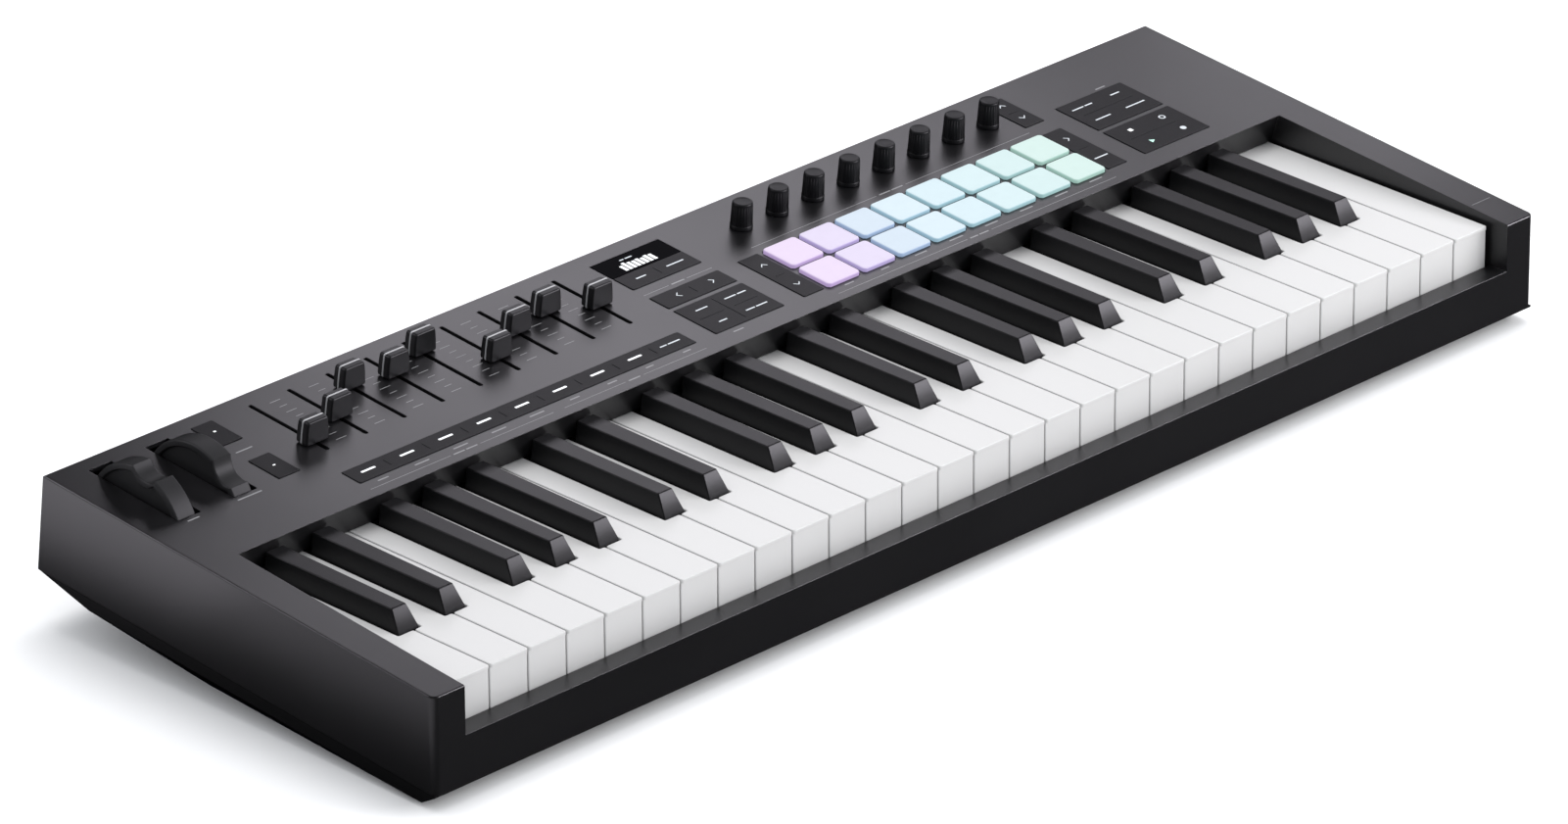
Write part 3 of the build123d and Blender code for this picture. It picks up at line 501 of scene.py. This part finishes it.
def panel_area(x0, x1, y0, y1):
    """A rectangle of the panel given by its plan from above, laid on the slope."""
    return rectangle(x0, x1, y0 / TILT_COS, y1 / TILT_COS)


def cut_square(x, y):
    half = PAD_SIZE / 2
    near = half - PAD_CUT
    y /= TILT_COS
    corners = [(near, -half), (half, -near), (half, near), (near, half)]
    return [(x + a, y + b) for a, b in corners] + [(x - a, y - b) for a, b in corners]


def lit_silicone():
    """Silicone that glows in its own colour, cloudier in some places than in others."""
    material = moulded(
        "lit_silicone", (0.5, 0.5, 0.5), 0.5, grain=0.5, depth=0.008, spread=0.02, Specular_IOR_Level=0.15
    )
    tree = material.node_tree
    shader = tree.nodes["Principled BSDF"]
    glow = node(tree, "ShaderNodeVertexColor", layer_name="glow").outputs["Color"]
    place = tree.nodes["Texture Coordinate"].outputs["Object"]
    cloud = node(tree, "ShaderNodeTexNoise", {"Vector": place, "Scale": 180.0, "Detail": 3.0})
    veil = node(tree, "ShaderNodeMapRange", {"Value": cloud.outputs["Fac"], "To Min": 0.94, "To Max": 1.0})
    tint = node(tree, "ShaderNodeVectorMath", {0: glow, "Scale": veil.outputs["Result"]}, operation="SCALE")
    body = node(tree, "ShaderNodeVectorMath", {0: tint.outputs[0], "Scale": 0.35}, operation="SCALE")
    tree.links.new(body.outputs[0], shader.inputs["Base Color"])
    tree.links.new(tint.outputs[0], shader.inputs["Emission Color"])
    shader.inputs["Emission Strength"].default_value = 0.42
    return material


pads = bmesh.new()
glow = pads.loops.layers.float_color.new("glow")
for y in PAD_ROWS:
    for i in range(PAD_COLUMNS):
        faces = slab(pads, cut_square(PAD_X + i * PITCH, y), PAD_FOOT, PAD_TOP, corner=1.0, edge=PAD_EDGE)
        for face in faces:
            for loop in face.loops:
                on_top = loop.vert.co.z > PAD_TOP - 0.3 * PAD_EDGE
                loop[glow] = (*(PAD_TOPS[i] if on_top else PAD_SIDES[i]), 1)
x0 = PAD_X - PAD_SIZE / 2 - WEB_MARGIN
x1 = PAD_X + (PAD_COLUMNS - 1) * PITCH + PAD_SIZE / 2 + WEB_MARGIN
y0, y1 = PAD_ROWS[0] - PAD_SIZE / 2 - WEB_MARGIN, PAD_ROWS[1] + PAD_SIZE / 2 + WEB_MARGIN
for face in slab(pads, panel_area(x0, x1, y0, y1), PAD_FOOT - WEB_THICKNESS, PAD_FOOT, edge=0.1):
    for loop in face.loops:
        loop[glow] = (0.10, 0.10, 0.11, 1)
pads_piece = piece("pads", pads, PANEL, lit_silicone())
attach(pads_piece, "pad_bank")
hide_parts("pad_bank")


# ---- Rubber buttons ----
# Flush key mats moulded in matte black silicone rubber, one to a group, with low ridges between
# neighbouring keys. Their signs are laser-etched windows over small lamps.
CAP_TOP, MAT_TOP, MAT_FOOT, MAT_FLANGE = 0.4, -7.0, -8.0, 0.8
BUTTONS = {
    "octave_buttons": [(80.5, 93.2, 226.0, 247.0), (80.5, 93.2, 187.5, 208.3)],
    "fader_buttons": [(106.0, 318.3, 161.2, 173.7)],
    "display_buttons": [(331.3, 376.0, 216.4, 229.8)],
    "track_buttons": [(331.3, 376.0, 192.6, 205.7)],
    "function_buttons": [(331.3, 376.0, 161.2, 189.5)],
    "pad_scene_buttons": [(389.3, 402.3, 161.2, 205.7)],
    "pad_launch_buttons": [(596.2, 609.2, 161.2, 205.7)],
    "encoder_page_buttons": [(596.2, 609.2, 216.4, 246.0)],
    "edit_buttons": [(622.0, 667.6, 192.3, 221.3)],
    "transport_buttons": [(622.0, 667.6, 161.2, 189.3)],
}
# Ridges as (x0, x1, y0, y1), between the keys of a group
RIDGES = {
    "fader_buttons": [(128.3 + PITCH * i, 128.7 + PITCH * i, 164.6, 170.2) for i in range(8)],
    "display_buttons": [(353.5, 353.9, 220.0, 226.4)],
    "track_buttons": [(353.5, 353.9, 196.2, 202.2)],
    "function_buttons": [
        (353.5, 353.9, 164.0, 187.0), (335.0, 350.0, 175.2, 175.6), (357.5, 372.5, 175.2, 175.6)
    ],
    "pad_scene_buttons": [(392.8, 398.8, 183.5, 183.9)],
    "pad_launch_buttons": [(599.7, 605.7, 183.5, 183.9)],
    "encoder_page_buttons": [(599.7, 605.7, 231.0, 231.4)],
    "edit_buttons": [(627.5, 662.0, 207.1, 207.5)],
    "transport_buttons": [(627.5, 662.0, 175.3, 175.7)],
}
SIGN_LIFT = 0.03


def dash(bm, x, y, width, height=0.9, w=CAP_TOP, material=0):
    """A short bar, standing for a word or a light."""
    area = panel_area(x - width / 2, x + width / 2, y - height / 2, y + height / 2)
    slab(bm, area, w - 0.2, w + SIGN_LIFT, corner=height * 0.3, edge=0.02, steps=2, material=material)


def words(bm, x, y, widths, height=0.85, w=CAP_TOP, material=0):
    """Bars in a row about x, one for each word."""
    gap = 0.9
    left = x - (sum(widths) + gap * (len(widths) - 1)) / 2
    for width in widths:
        dash(bm, left + width / 2, y, width, height, w, material)
        left += width + gap


def chevron(bm, x, y, turn, size=1.9):
    """An arrow head of two strokes, pointing up the slope when turn is 0."""
    arm = 0.42
    outline = [(-size, -arm), (0, size - arm), (size, -arm), (size, -arm - 0.75), (0, size - arm - 0.75),
               (-size, -arm - 0.75)]
    turned = [Matrix.Rotation(math.radians(turn), 2) @ Vector(p) for p in reversed(outline)]
    corners = [(x + p.x, y / TILT_COS + p.y) for p in turned]
    slab(bm, corners, CAP_TOP - 0.2, CAP_TOP + SIGN_LIFT, corner=0.1, edge=0.02, steps=1)


def shape(bm, x, y, sides, radius, turn=0.0, material=0, lift=SIGN_LIFT):
    corners = []
    for i in range(sides):
        angle = math.radians(turn) + math.tau * i / sides
        corners.append((x + radius * math.cos(angle), y / TILT_COS + radius * math.sin(angle)))
    slab(bm, corners, CAP_TOP - 0.2, CAP_TOP + lift, corner=0.15, edge=0.02, steps=1, material=material)


def etched(name, colour, glow):
    """An etched window in the rubber with a lamp behind it, a little uneven."""
    material = moulded(name, colour, 0.5, grain=0.3, depth=0.004, spread=0.08, patch=0.004)
    shader = material.node_tree.nodes["Principled BSDF"]
    shader.inputs["Emission Color"].default_value = (*colour, 1)
    shader.inputs["Emission Strength"].default_value = glow
    return material


rubber = moulded(
    "button_rubber", (0.0095, 0.0092, 0.0105), 0.5, grain=0.25, depth=0.02, patch=0.02,
    Specular_IOR_Level=0.13,
)
white_sign = etched("white_sign", (0.50, 0.53, 0.56), 0.1)
bright_sign = etched("bright_sign", (0.80, 0.82, 0.84), 0.25)
green_sign = etched("green_sign", (0.40, 0.68, 0.58), 0.15)


def signs_of(group, bm):
    """The signs of one group: bars for words, arrow heads, lights and the transport's shapes."""
    if group == "octave_buttons":
        dash(bm, 87.0, 238.0, 1.5, 1.1, material=1)
        dash(bm, 87.0, 198.0, 1.5, 0.9, material=1)
    elif group == "fader_buttons":
        for i in range(8):
            dash(bm, 117.2 + PITCH * i, 168.0, 8.6, 1.35, material=1)
        words(bm, 307.6, 167.7, (4.2, 7.6))
    elif group == "display_buttons":
        words(bm, 343.0, 223.3, (6.4,))
        words(bm, 365.2, 223.3, (11.0,))
    elif group == "track_buttons":
        chevron(bm, 344.3, 199.5, 90)
        chevron(bm, 366.2, 199.5, -90)
    elif group == "function_buttons":
        words(bm, 343.0, 182.8, (7.6,))
        words(bm, 365.0, 182.8, (7.4, 5.6))
        words(bm, 343.0, 168.4, (5.2,))
        words(bm, 365.0, 168.4, (5.8, 7.2))
    elif group == "pad_scene_buttons":
        chevron(bm, 396.0, 195.2, 0)
        chevron(bm, 396.0, 172.4, 180)
    elif group == "pad_launch_buttons":
        chevron(bm, 603.0, 195.2, -90)
        words(bm, 602.9, 172.3, (9.0,))
    elif group == "encoder_page_buttons":
        chevron(bm, 603.0, 239.2, 0)
        chevron(bm, 603.0, 225.0, 180)
    elif group == "edit_buttons":
        words(bm, 633.6, 214.3, (7.8, 5.2))
        words(bm, 656.5, 214.3, (6.2,))
        words(bm, 633.8, 200.3, (10.4,))
        words(bm, 656.3, 200.3, (13.0,))
    elif group == "transport_buttons":
        shape(bm, 634.3, 182.5, 4, 1.7, 45, material=1)
        shape(bm, 656.5, 182.5, 12, 1.9)
        shape(bm, 656.5, 182.5, 12, 1.15, material=3, lift=0.05)
        shape(bm, 634.4, 168.2, 3, 1.9, 0, material=2)
        shape(bm, 656.4, 168.2, 12, 1.7)


for group, areas in BUTTONS.items():
    mat = bmesh.new()
    for x0, x1, y0, y1 in areas:
        slab(mat, panel_area(x0, x1, y0, y1), MAT_TOP - 0.1, CAP_TOP, corner=0.8, edge=0.3)
        flange = offset(panel_area(x0, x1, y0, y1), -MAT_FLANGE)
        slab(mat, flange, MAT_FOOT, MAT_TOP, corner=0.8, edge=0.2)
    if len(areas) > 1:
        link = panel_area(areas[1][0] + 4, areas[1][1] - 4, areas[1][3], areas[0][2])
        slab(mat, link, MAT_FOOT + 0.1, MAT_TOP - 0.1)
    for x0, x1, y0, y1 in RIDGES.get(group, []):
        slab(mat, panel_area(x0, x1, y0, y1), CAP_TOP - 0.3, CAP_TOP + 0.18, corner=0.15, edge=0.12)
    mat_piece = piece(f"{group}_mat", mat, PANEL, rubber)
    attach(mat_piece, group)
    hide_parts(group)
    signs = bmesh.new()
    signs_of(group, signs)
    signs_piece = piece(f"{group}_signs", signs, PANEL, white_sign, bright_sign, green_sign, rubber)
    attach(signs_piece, group)


# ---- Display ----
# A small screen under a polished black acrylic window, cemented flush in the panel. It shows a row
# of level bars under two short captions.
DISPLAY = (331.3, 376.0, 230.2, 246.0)
LENS_TOP = 0.1
# An index far below acrylic's real 1.49, so that the window mirrors next to nothing
lens_acrylic = moulded(
    "lens_acrylic", (0.0012, 0.0012, 0.0018), 0.14, grain=2.0, depth=0.001, patch=0.02, IOR=1.03
)
lens = bmesh.new()
slab(lens, panel_area(*DISPLAY), -1.5, LENS_TOP, corner=0.7, edge=0.15)
lens_piece = piece("display_lens", lens, PANEL, lens_acrylic)
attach(lens_piece, "case")
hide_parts("display_window")
dress("display_module", moulded("screen_glass", (0.01, 0.01, 0.014), 0.2, grain=1.0, depth=0.002))


def marks_tree():
    """Rows and columns of thin bars: every other one may be shorter, and each may vary in length."""
    tree = bpy.data.node_groups.new("marks", "GeometryNodeTree")
    tree.interface.new_socket("Geometry", in_out="OUTPUT", socket_type="NodeSocketGeometry")
    sockets = {
        "Columns": "Int", "Rows": "Int", "Column Pitch": "Float", "Row Pitch": "Float", "Length": "Float",
        "Short Length": "Float", "Width": "Float", "Height": "Float", "Foot": "Float", "Shrink": "Float",
        "Seed": "Int", "Material": "Material",
    }
    for name, kind in sockets.items():
        tree.interface.new_socket(name, in_out="INPUT", socket_type="NodeSocket" + kind)
    given = node(tree, "NodeGroupInput").outputs

    def maths(operation, a, b=0.0):
        return node(tree, "ShaderNodeMath", {0: a, 1: b}, operation=operation).outputs[0]

    size_x = maths("MULTIPLY", maths("SUBTRACT", given["Columns"], 1.0), given["Column Pitch"])
    size_y = maths("MULTIPLY", maths("SUBTRACT", given["Rows"], 1.0), given["Row Pitch"])
    grid = node(tree, "GeometryNodeMeshGrid", {
        "Size X": size_x, "Size Y": size_y, "Vertices X": given["Columns"], "Vertices Y": given["Rows"],
    })
    index = node(tree, "GeometryNodeInputIndex").outputs[0]
    row = maths("MODULO", index, given["Rows"])
    odd = maths("MODULO", row, 2.0)
    usual = node(tree, "ShaderNodeMapRange", {
        "Value": odd, "To Min": given["Length"], "To Max": given["Short Length"],
    }).outputs["Result"]
    chance = node(tree, "FunctionNodeRandomValue", {"Seed": given["Seed"]}, data_type="FLOAT").outputs[1]
    length = maths("MULTIPLY", usual, maths("SUBTRACT", 1.0, maths("MULTIPLY", chance, given["Shrink"])))
    size = node(tree, "ShaderNodeCombineXYZ", {"X": length, "Y": given["Width"], "Z": given["Height"]})
    cube = node(tree, "GeometryNodeMeshCube").outputs["Mesh"]
    foot = node(tree, "ShaderNodeCombineXYZ", {"X": given["Foot"]}).outputs[0]
    stood = node(tree, "GeometryNodeTransform", {"Geometry": cube, "Translation": foot}).outputs[0]
    spread = node(tree, "GeometryNodeInstanceOnPoints", {
        "Points": grid.outputs["Mesh"], "Instance": stood, "Scale": size.outputs[0],
    })
    real = node(tree, "GeometryNodeRealizeInstances", {0: spread.outputs[0]})
    painted = node(tree, "GeometryNodeSetMaterial", {
        "Geometry": real.outputs[0], "Material": given["Material"],
    })
    node(tree, "NodeGroupOutput", {0: painted.outputs[0]})
    return tree


def grown(name, tree, place, **inputs):
    """A piece made by a node tree from its named inputs, baked to a mesh and put in its place."""
    made = bpy.data.objects.new(name, bpy.data.meshes.new(name))
    scene.collection.objects.link(made)
    modifier = made.modifiers.new(tree.name, "NODES")
    modifier.node_group = tree
    for item in tree.interface.items_tree:
        key = item.name.replace(" ", "_")
        if item.in_out == "INPUT" and key in inputs:
            modifier[item.identifier] = inputs[key]
    baked(made)
    made.data.name = name
    made.data.transform(place)
    return made


MARKS = marks_tree()
screen_light = etched("screen_light", (0.80, 0.81, 0.82), 0.25)
level_bars = grown(
    "display_level_bars", MARKS, on_panel(352.6, 232.2, LENS_TOP) @ Matrix.Rotation(math.pi / 2, 4, "Z"),
    Columns=1, Rows=8, Column_Pitch=1.0, Row_Pitch=2.7, Length=7.4, Short_Length=6.4, Width=1.9,
    Height=0.06, Foot=0.5, Shrink=0.35, Seed=4, Material=screen_light,
)
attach(level_bars, "case")
captions = bmesh.new()
words(captions, 350.5, 241.6, (2.6, 4.4), 0.8, LENS_TOP)
captions_piece = piece("display_captions", captions, PANEL, white_sign)
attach(captions_piece, "case")


# ---- Faders ----
# Nine slide potentiometers under slots in the panel. Each cap is moulded in satin black in two
# halves, pressed together over a thin grey strip that shows the position.
FADER_X, FADER_PITCH, FADER_COUNT = 116.3, 23.96, 9
FADER_REST = (204.4, 214.3, 231.7, 227.6, 235.4, 209.5, 221.9, 226.9, 217.0)
CAP_FOOT, CAP_HEIGHT, CAP_WIDTH, CAP_CROWN, CAP_DEPTH = 0.4, 12.5, 14.0, 12.2, 8.2
STRIP_DEPTH, STRIP_PROUD = 0.9, 0.22
CAP_WAIST, CAP_STEM_FOOT = 7.0, -9.0


def cap_outline(grow):
    """The cap seen from the front: upright below, leaning in above, round at the shoulders."""
    half, crown = CAP_WIDTH / 2 + grow, CAP_CROWN / 2 + grow
    top = CAP_HEIGHT - 0.25 + grow
    return [(-half, CAP_FOOT), (half, CAP_FOOT), (half - 0.3, CAP_WAIST), (crown, top), (-crown, top),
            (-half + 0.3, CAP_WAIST)]


def cap_part(bm, grow, depths):
    """Part of a cap from front to back: depths lists (y, inset)."""
    rings = []
    for y, inset in depths:
        outline = rounded(offset(cap_outline(grow), inset), 1.1, 3)
        rings.append([(p.x, y * (1 - 0.006 * p.y), p.y) for p in outline])
    skin(bm, rings[::-1])


fader_plastic = moulded(
    "fader_plastic", (0.008, 0.008, 0.009), 0.4, grain=0.3, depth=0.008, patch=0.01, Specular_IOR_Level=0.22
)
strip_plastic = moulded("strip_plastic", (0.30, 0.30, 0.31), 0.4, grain=0.3, depth=0.004, patch=0.01)
half_depth, half_strip = CAP_DEPTH / 2, STRIP_DEPTH / 2
for i in range(FADER_COUNT):
    body = f"fader_cap_{i + 1}"
    seat = on_panel(FADER_X + FADER_PITCH * i, FADER_REST[i])
    cap = bmesh.new()
    cap_part(cap, 0, [(-half_depth, 0.75), (-half_depth + 0.25, 0.3), (-half_depth + 0.8, 0.0),
                      (-half_strip - 0.15, 0.0), (-half_strip - 0.05, 0.2)])
    cap_part(cap, -0.35, [(half_strip + 0.05, 0.2), (half_strip + 0.15, 0.0), (half_depth - 0.8, 0.0),
                          (half_depth - 0.25, 0.3), (half_depth, 0.75)])
    slab(cap, rectangle(-0.6, 0.6, -2, 2), CAP_STEM_FOOT, CAP_FOOT + 1, corner=0.2, edge=0.1, steps=1)
    cap_piece = piece(f"fader_{i + 1}_cap", cap, seat, fader_plastic)
    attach(cap_piece, body)
    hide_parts(body)
    strip = bmesh.new()
    cap_part(strip, STRIP_PROUD, [(-half_strip, 0.15), (-half_strip + 0.15, 0.0), (half_strip - 0.15, 0.0),
                                  (half_strip, 0.15)])
    strip_piece = piece(f"fader_{i + 1}_strip", strip, seat, strip_plastic)
    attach(strip_piece, body)
plated = moulded("plated_steel", (0.42, 0.42, 0.43), 0.35, grain=0.4, depth=0.01, Metallic=0.9)
dress("fader_pots", plated)


# ---- Encoder knobs ----
# Eight slightly tapered caps in satin black, ribbed for grip, with a plain skirt and a dished top,
# each pressed on the shaft of an endless encoder.
KNOB_X, KNOB_Y, KNOB_COUNT = 415.7, 230.0, 8
KNOB_BASE, KNOB_CROWN, KNOB_FOOT, KNOB_TOP, STEM = 5.6, 4.95, 0.3, 13.9, 2.9
RIBS, KNOB_EDGE, KNOB_STEM_FOOT = 24, 0.85, -8.0


def turned(bm, profile, sides):
    """A solid turned about z from its profile of (radius, height), from the foot up."""
    skin(bm, [
        [(r * math.cos(math.tau * k / sides), r * math.sin(math.tau * k / sides), z) for k in range(sides)]
        for r, z in profile
    ])


def ribs_tree():
    """Upright ribs round a tapered cap."""
    tree = bpy.data.node_groups.new("ribs", "GeometryNodeTree")
    tree.interface.new_socket("Geometry", in_out="OUTPUT", socket_type="NodeSocketGeometry")
    sockets = {
        "Count": "Int", "Ring Radius": "Float", "Rib Radius": "Float", "Length": "Float", "Lean": "Float",
        "Height": "Float", "Material": "Material",
    }
    for name, kind in sockets.items():
        tree.interface.new_socket(name, in_out="INPUT", socket_type="NodeSocket" + kind)
    given = node(tree, "NodeGroupInput").outputs
    ring = node(tree, "GeometryNodeMeshCircle", {"Vertices": given["Count"], "Radius": given["Ring Radius"]})
    rib = node(tree, "GeometryNodeMeshCone", {
        "Vertices": 8, "Side Segments": 1, "Radius Top": given["Rib Radius"],
        "Radius Bottom": given["Rib Radius"], "Depth": given["Length"],
    })
    index = node(tree, "GeometryNodeInputIndex").outputs[0]
    step = node(tree, "ShaderNodeMath", {0: math.tau, 1: given["Count"]}, operation="DIVIDE").outputs[0]
    angle = node(tree, "ShaderNodeMath", {0: index, 1: step}, operation="MULTIPLY").outputs[0]
    turn = node(tree, "ShaderNodeCombineXYZ", {"Y": given["Lean"], "Z": angle}).outputs[0]
    lift = node(tree, "ShaderNodeCombineXYZ", {"Z": given["Height"]}).outputs[0]
    spread = node(tree, "GeometryNodeInstanceOnPoints", {
        "Points": ring.outputs["Mesh"], "Instance": rib.outputs["Mesh"], "Rotation": turn,
    })
    real = node(tree, "GeometryNodeRealizeInstances", {0: spread.outputs[0]})
    lifted = node(tree, "GeometryNodeTransform", {"Geometry": real.outputs[0], "Translation": lift})
    smooth = node(tree, "GeometryNodeSetShadeSmooth", {"Geometry": lifted.outputs[0]})
    painted = node(tree, "GeometryNodeSetMaterial", {
        "Geometry": smooth.outputs[0], "Material": given["Material"],
    })
    node(tree, "NodeGroupOutput", {0: painted.outputs[0]})
    return tree


knob_plastic = moulded(
    "knob_plastic", (0.007, 0.007, 0.008), 0.45, grain=0.25, depth=0.01, patch=0.01, Specular_IOR_Level=0.16
)
KNOB_RIBS = ribs_tree()
profile = [
    (STEM, KNOB_STEM_FOOT), (STEM, KNOB_FOOT), (KNOB_BASE - 0.2, KNOB_FOOT), (KNOB_BASE, KNOB_FOOT + 0.2),
]
profile += [(KNOB_BASE - 0.03, 2.0), (KNOB_BASE - 0.3, 2.3)]
for k in range(6):
    angle = math.pi / 2 * k / 5
    radius = KNOB_CROWN - KNOB_EDGE + KNOB_EDGE * math.cos(angle)
    profile.append((radius, KNOB_TOP - KNOB_EDGE + KNOB_EDGE * math.sin(angle)))
profile += [(3.5, KNOB_TOP), (3.1, KNOB_TOP - 0.2), (0.05, KNOB_TOP - 0.22)]
for i in range(KNOB_COUNT):
    seat = on_panel(KNOB_X + PITCH * i, KNOB_Y)
    cap = bmesh.new()
    turned(cap, profile, 64)
    cap_piece = piece(f"knob_{i + 1}_cap", cap, seat, knob_plastic)
    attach(cap_piece, f"knob_{i + 1}")
    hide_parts(f"knob_{i + 1}")
    ribs = grown(
        f"knob_{i + 1}_ribs", KNOB_RIBS, seat, Count=RIBS, Ring_Radius=5.2, Rib_Radius=0.22, Length=10.4,
        Lean=-0.03, Height=2.2, Material=knob_plastic,
    )
    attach(ribs, f"knob_{i + 1}")
dress("encoders", plated)


# ---- Thumb wheels ----
# Two wheels on one axle, moulded in satin black with a raised rim, a sunk web and a finger dimple:
# the first springs back to the middle, the second stays where it is put.
WHEELS = {"pitch_wheel": (25.2, -12.0), "modulation_wheel": (59.2, -42.0)}
WHEEL_Y, WHEEL_Z, WHEEL_RADIUS, WHEEL_WIDTH = 216.8, 51.2, 31.7, 11.4
DIMPLE_RADIUS, DIMPLE_DEPTH = 9.7, 4.5
RIM, WEB_DEPTH, HUB, BORE = 3.0, 1.8, 6.0, 2.55


def rim_radius(angle, dimple):
    """The rim's radius at an angle from straight up, scooped out round the dimple."""
    reach = WHEEL_RADIUS + DIMPLE_RADIUS - DIMPLE_DEPTH
    off = (angle - dimple + math.pi) % math.tau - math.pi
    inside = DIMPLE_RADIUS ** 2 - (reach * math.sin(off)) ** 2
    if inside < 0 or math.cos(off) < 0:
        return WHEEL_RADIUS
    return min(WHEEL_RADIUS, reach * math.cos(off) - math.sqrt(inside))


wheel_plastic = moulded(
    "wheel_plastic", (0.018, 0.0178, 0.019), 0.5, grain=0.3, depth=0.012, patch=0.01, Specular_IOR_Level=0.16
)
for name, (x, dimple_degrees) in WHEELS.items():
    half, web_x = WHEEL_WIDTH / 2, WHEEL_WIDTH / 2 - WEB_DEPTH
    dimple = math.radians(dimple_degrees)
    wheel = bmesh.new()
    rings = []
    turns = 180
    for k in range(turns):
        angle = math.tau * k / turns
        rim = rim_radius(angle, dimple)
        side = [
            (half, BORE), (half, HUB - 0.3), (half - 0.3, HUB), (web_x + 0.2, HUB + 0.2),
            (web_x, HUB + 0.4), (web_x, rim - RIM - 1.4), (web_x + 0.25, rim - RIM - 0.6),
            (web_x + 0.9, rim - RIM - 0.15), (half - 0.3, rim - RIM), (half, rim - RIM + 0.35),
            (half, rim - 1.1), (half - 0.15, rim - 0.55), (half - 0.5, rim - 0.18), (half - 1.1, rim),
        ]
        section = side + [(-a, b) for a, b in reversed(side)]
        rings.append([(a, b * math.sin(angle), b * math.cos(angle)) for a, b in section])
    verts = [[wheel.verts.new(p) for p in ring] for ring in rings]
    for k in range(turns):
        ring, following = verts[k], verts[(k + 1) % turns]
        for i in range(len(ring)):
            j = (i + 1) % len(ring)
            wheel.faces.new((ring[i], ring[j], following[j], following[i]))
    bmesh.ops.recalc_face_normals(wheel, faces=wheel.faces)
    place = BENCH @ Matrix.Translation((x, WHEEL_Y, WHEEL_Z))
    wheel_piece = piece(f"{name}_moulding", wheel, place, wheel_plastic, crease=32)
    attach(wheel_piece, name)
    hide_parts(name)
dress("wheel_cradle", coarse_abs)


# ---- Printing on the panel ----
# Thin grey marks printed on the shell: scales beside the faders, short bars where a maker would
# label the controls, and fine lines that tie the groups together.
print_grey = moulded("print_grey", (0.20, 0.20, 0.205), 0.5, grain=0.2, depth=0.002, spread=0.15, patch=0.003)
scales = grown(
    "fader_scales", MARKS, on_panel(FADER_X + 0.5 * FADER_PITCH + 3.5 * FADER_PITCH, 220.25),
    Columns=8, Rows=9, Column_Pitch=FADER_PITCH, Row_Pitch=5.56 / TILT_COS, Length=6.3, Short_Length=4.4,
    Width=0.42, Height=0.04, Foot=0.0, Shrink=0.0, Seed=0, Material=print_grey,
)
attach(scales, "case")
prints = bmesh.new()


def printed_line(x0, x1, y, width=0.3):
    dash(prints, (x0 + x1) / 2, y, x1 - x0, width, 0.0)


words(prints, 26.0, 184.5, (7.0,), w=0.0)
words(prints, 60.0, 184.5, (14.5,), w=0.0)
words(prints, 86.4, 217.5, (10.0,), w=0.0)
for i, width in enumerate((6.5, 9.0, 9.0, 9.0, 9.0, 6.0, 6.0, 5.0, 5.0)):
    words(prints, 117.2 + PITCH * i, 158.0, (width,), w=0.0)
for x0, x1 in ((106.0, 155.5), (174.0, 220.0), (227.0, 266.0), (277.5, 318.3)):
    printed_line(x0, x1, 154.2)
words(prints, 164.7, 154.2, (7.0, 7.0), w=0.0)
words(prints, 271.8, 154.2, (7.5,), w=0.0)
for x0, x1 in ((331.3, 347.5), (359.5, 376.0)):
    printed_line(x0, x1, 209.4)
words(prints, 353.6, 209.4, (8.4,), w=0.0)
words(prints, 342.5, 157.6, (6.6,), w=0.0)
for x0, x1 in ((404.5, 488.5), (508.5, 594.0)):
    printed_line(x0, x1, 211.8)
words(prints, 498.5, 211.8, (7.4, 7.6), w=0.0)
for i, width in enumerate((6.0, 5.4, 8.0, 9.0, 8.6, 8.6, 8.6, 8.6)):
    words(prints, PAD_X + PITCH * i, 157.6, (width,), w=0.0)
for x0, x1 in ((404.5, 491.0), (507.5, 593.5)):
    printed_line(x0, x1, 153.4)
words(prints, 499.2, 153.4, (5.4, 6.2), w=0.0)
words(prints, 656.0, 223.6, (6.6,), w=0.0)
printed_line(706.5, 719.5, 25.0)
prints_piece = piece("panel_printing", prints, PANEL, print_grey)
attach(prints_piece, "case")


# ---- Sockets ----
# A small oval data socket, a round five-pole socket and a pedal jack on a board behind the rear
# wall: black nylon bodies, with a plated shell round the oval one.
STEEL_END = 130.0


def socket_finish():
    """Black nylon, and plated steel on the oval socket, which stands below STEEL_END in x."""
    material = moulded("socket_nylon", (0.014, 0.014, 0.015), 0.45, grain=0.5, depth=0.02)
    tree = material.node_tree
    place = tree.nodes["Texture Coordinate"].outputs["Object"]
    x = node(tree, "ShaderNodeSeparateXYZ", {0: place}).outputs["X"]
    steel_end = (BENCH @ Vector((STEEL_END, 0, 0))).x
    steel = node(tree, "ShaderNodeMath", {0: x, 1: steel_end}, operation="LESS_THAN").outputs[0]
    shader = tree.nodes["Principled BSDF"]
    old = shader.inputs["Base Color"].links[0].from_socket
    tone = node(tree, "ShaderNodeMix", {0: steel, 6: old, 7: (0.45, 0.45, 0.46, 1)}, data_type="RGBA")
    tree.links.new(tone.outputs[2], shader.inputs["Base Color"])
    tree.links.new(steel, shader.inputs["Metallic"])
    return material


sockets_finish = socket_finish()
dress("usb_midi_sockets", sockets_finish)
dress("pedal_jack", sockets_finish)
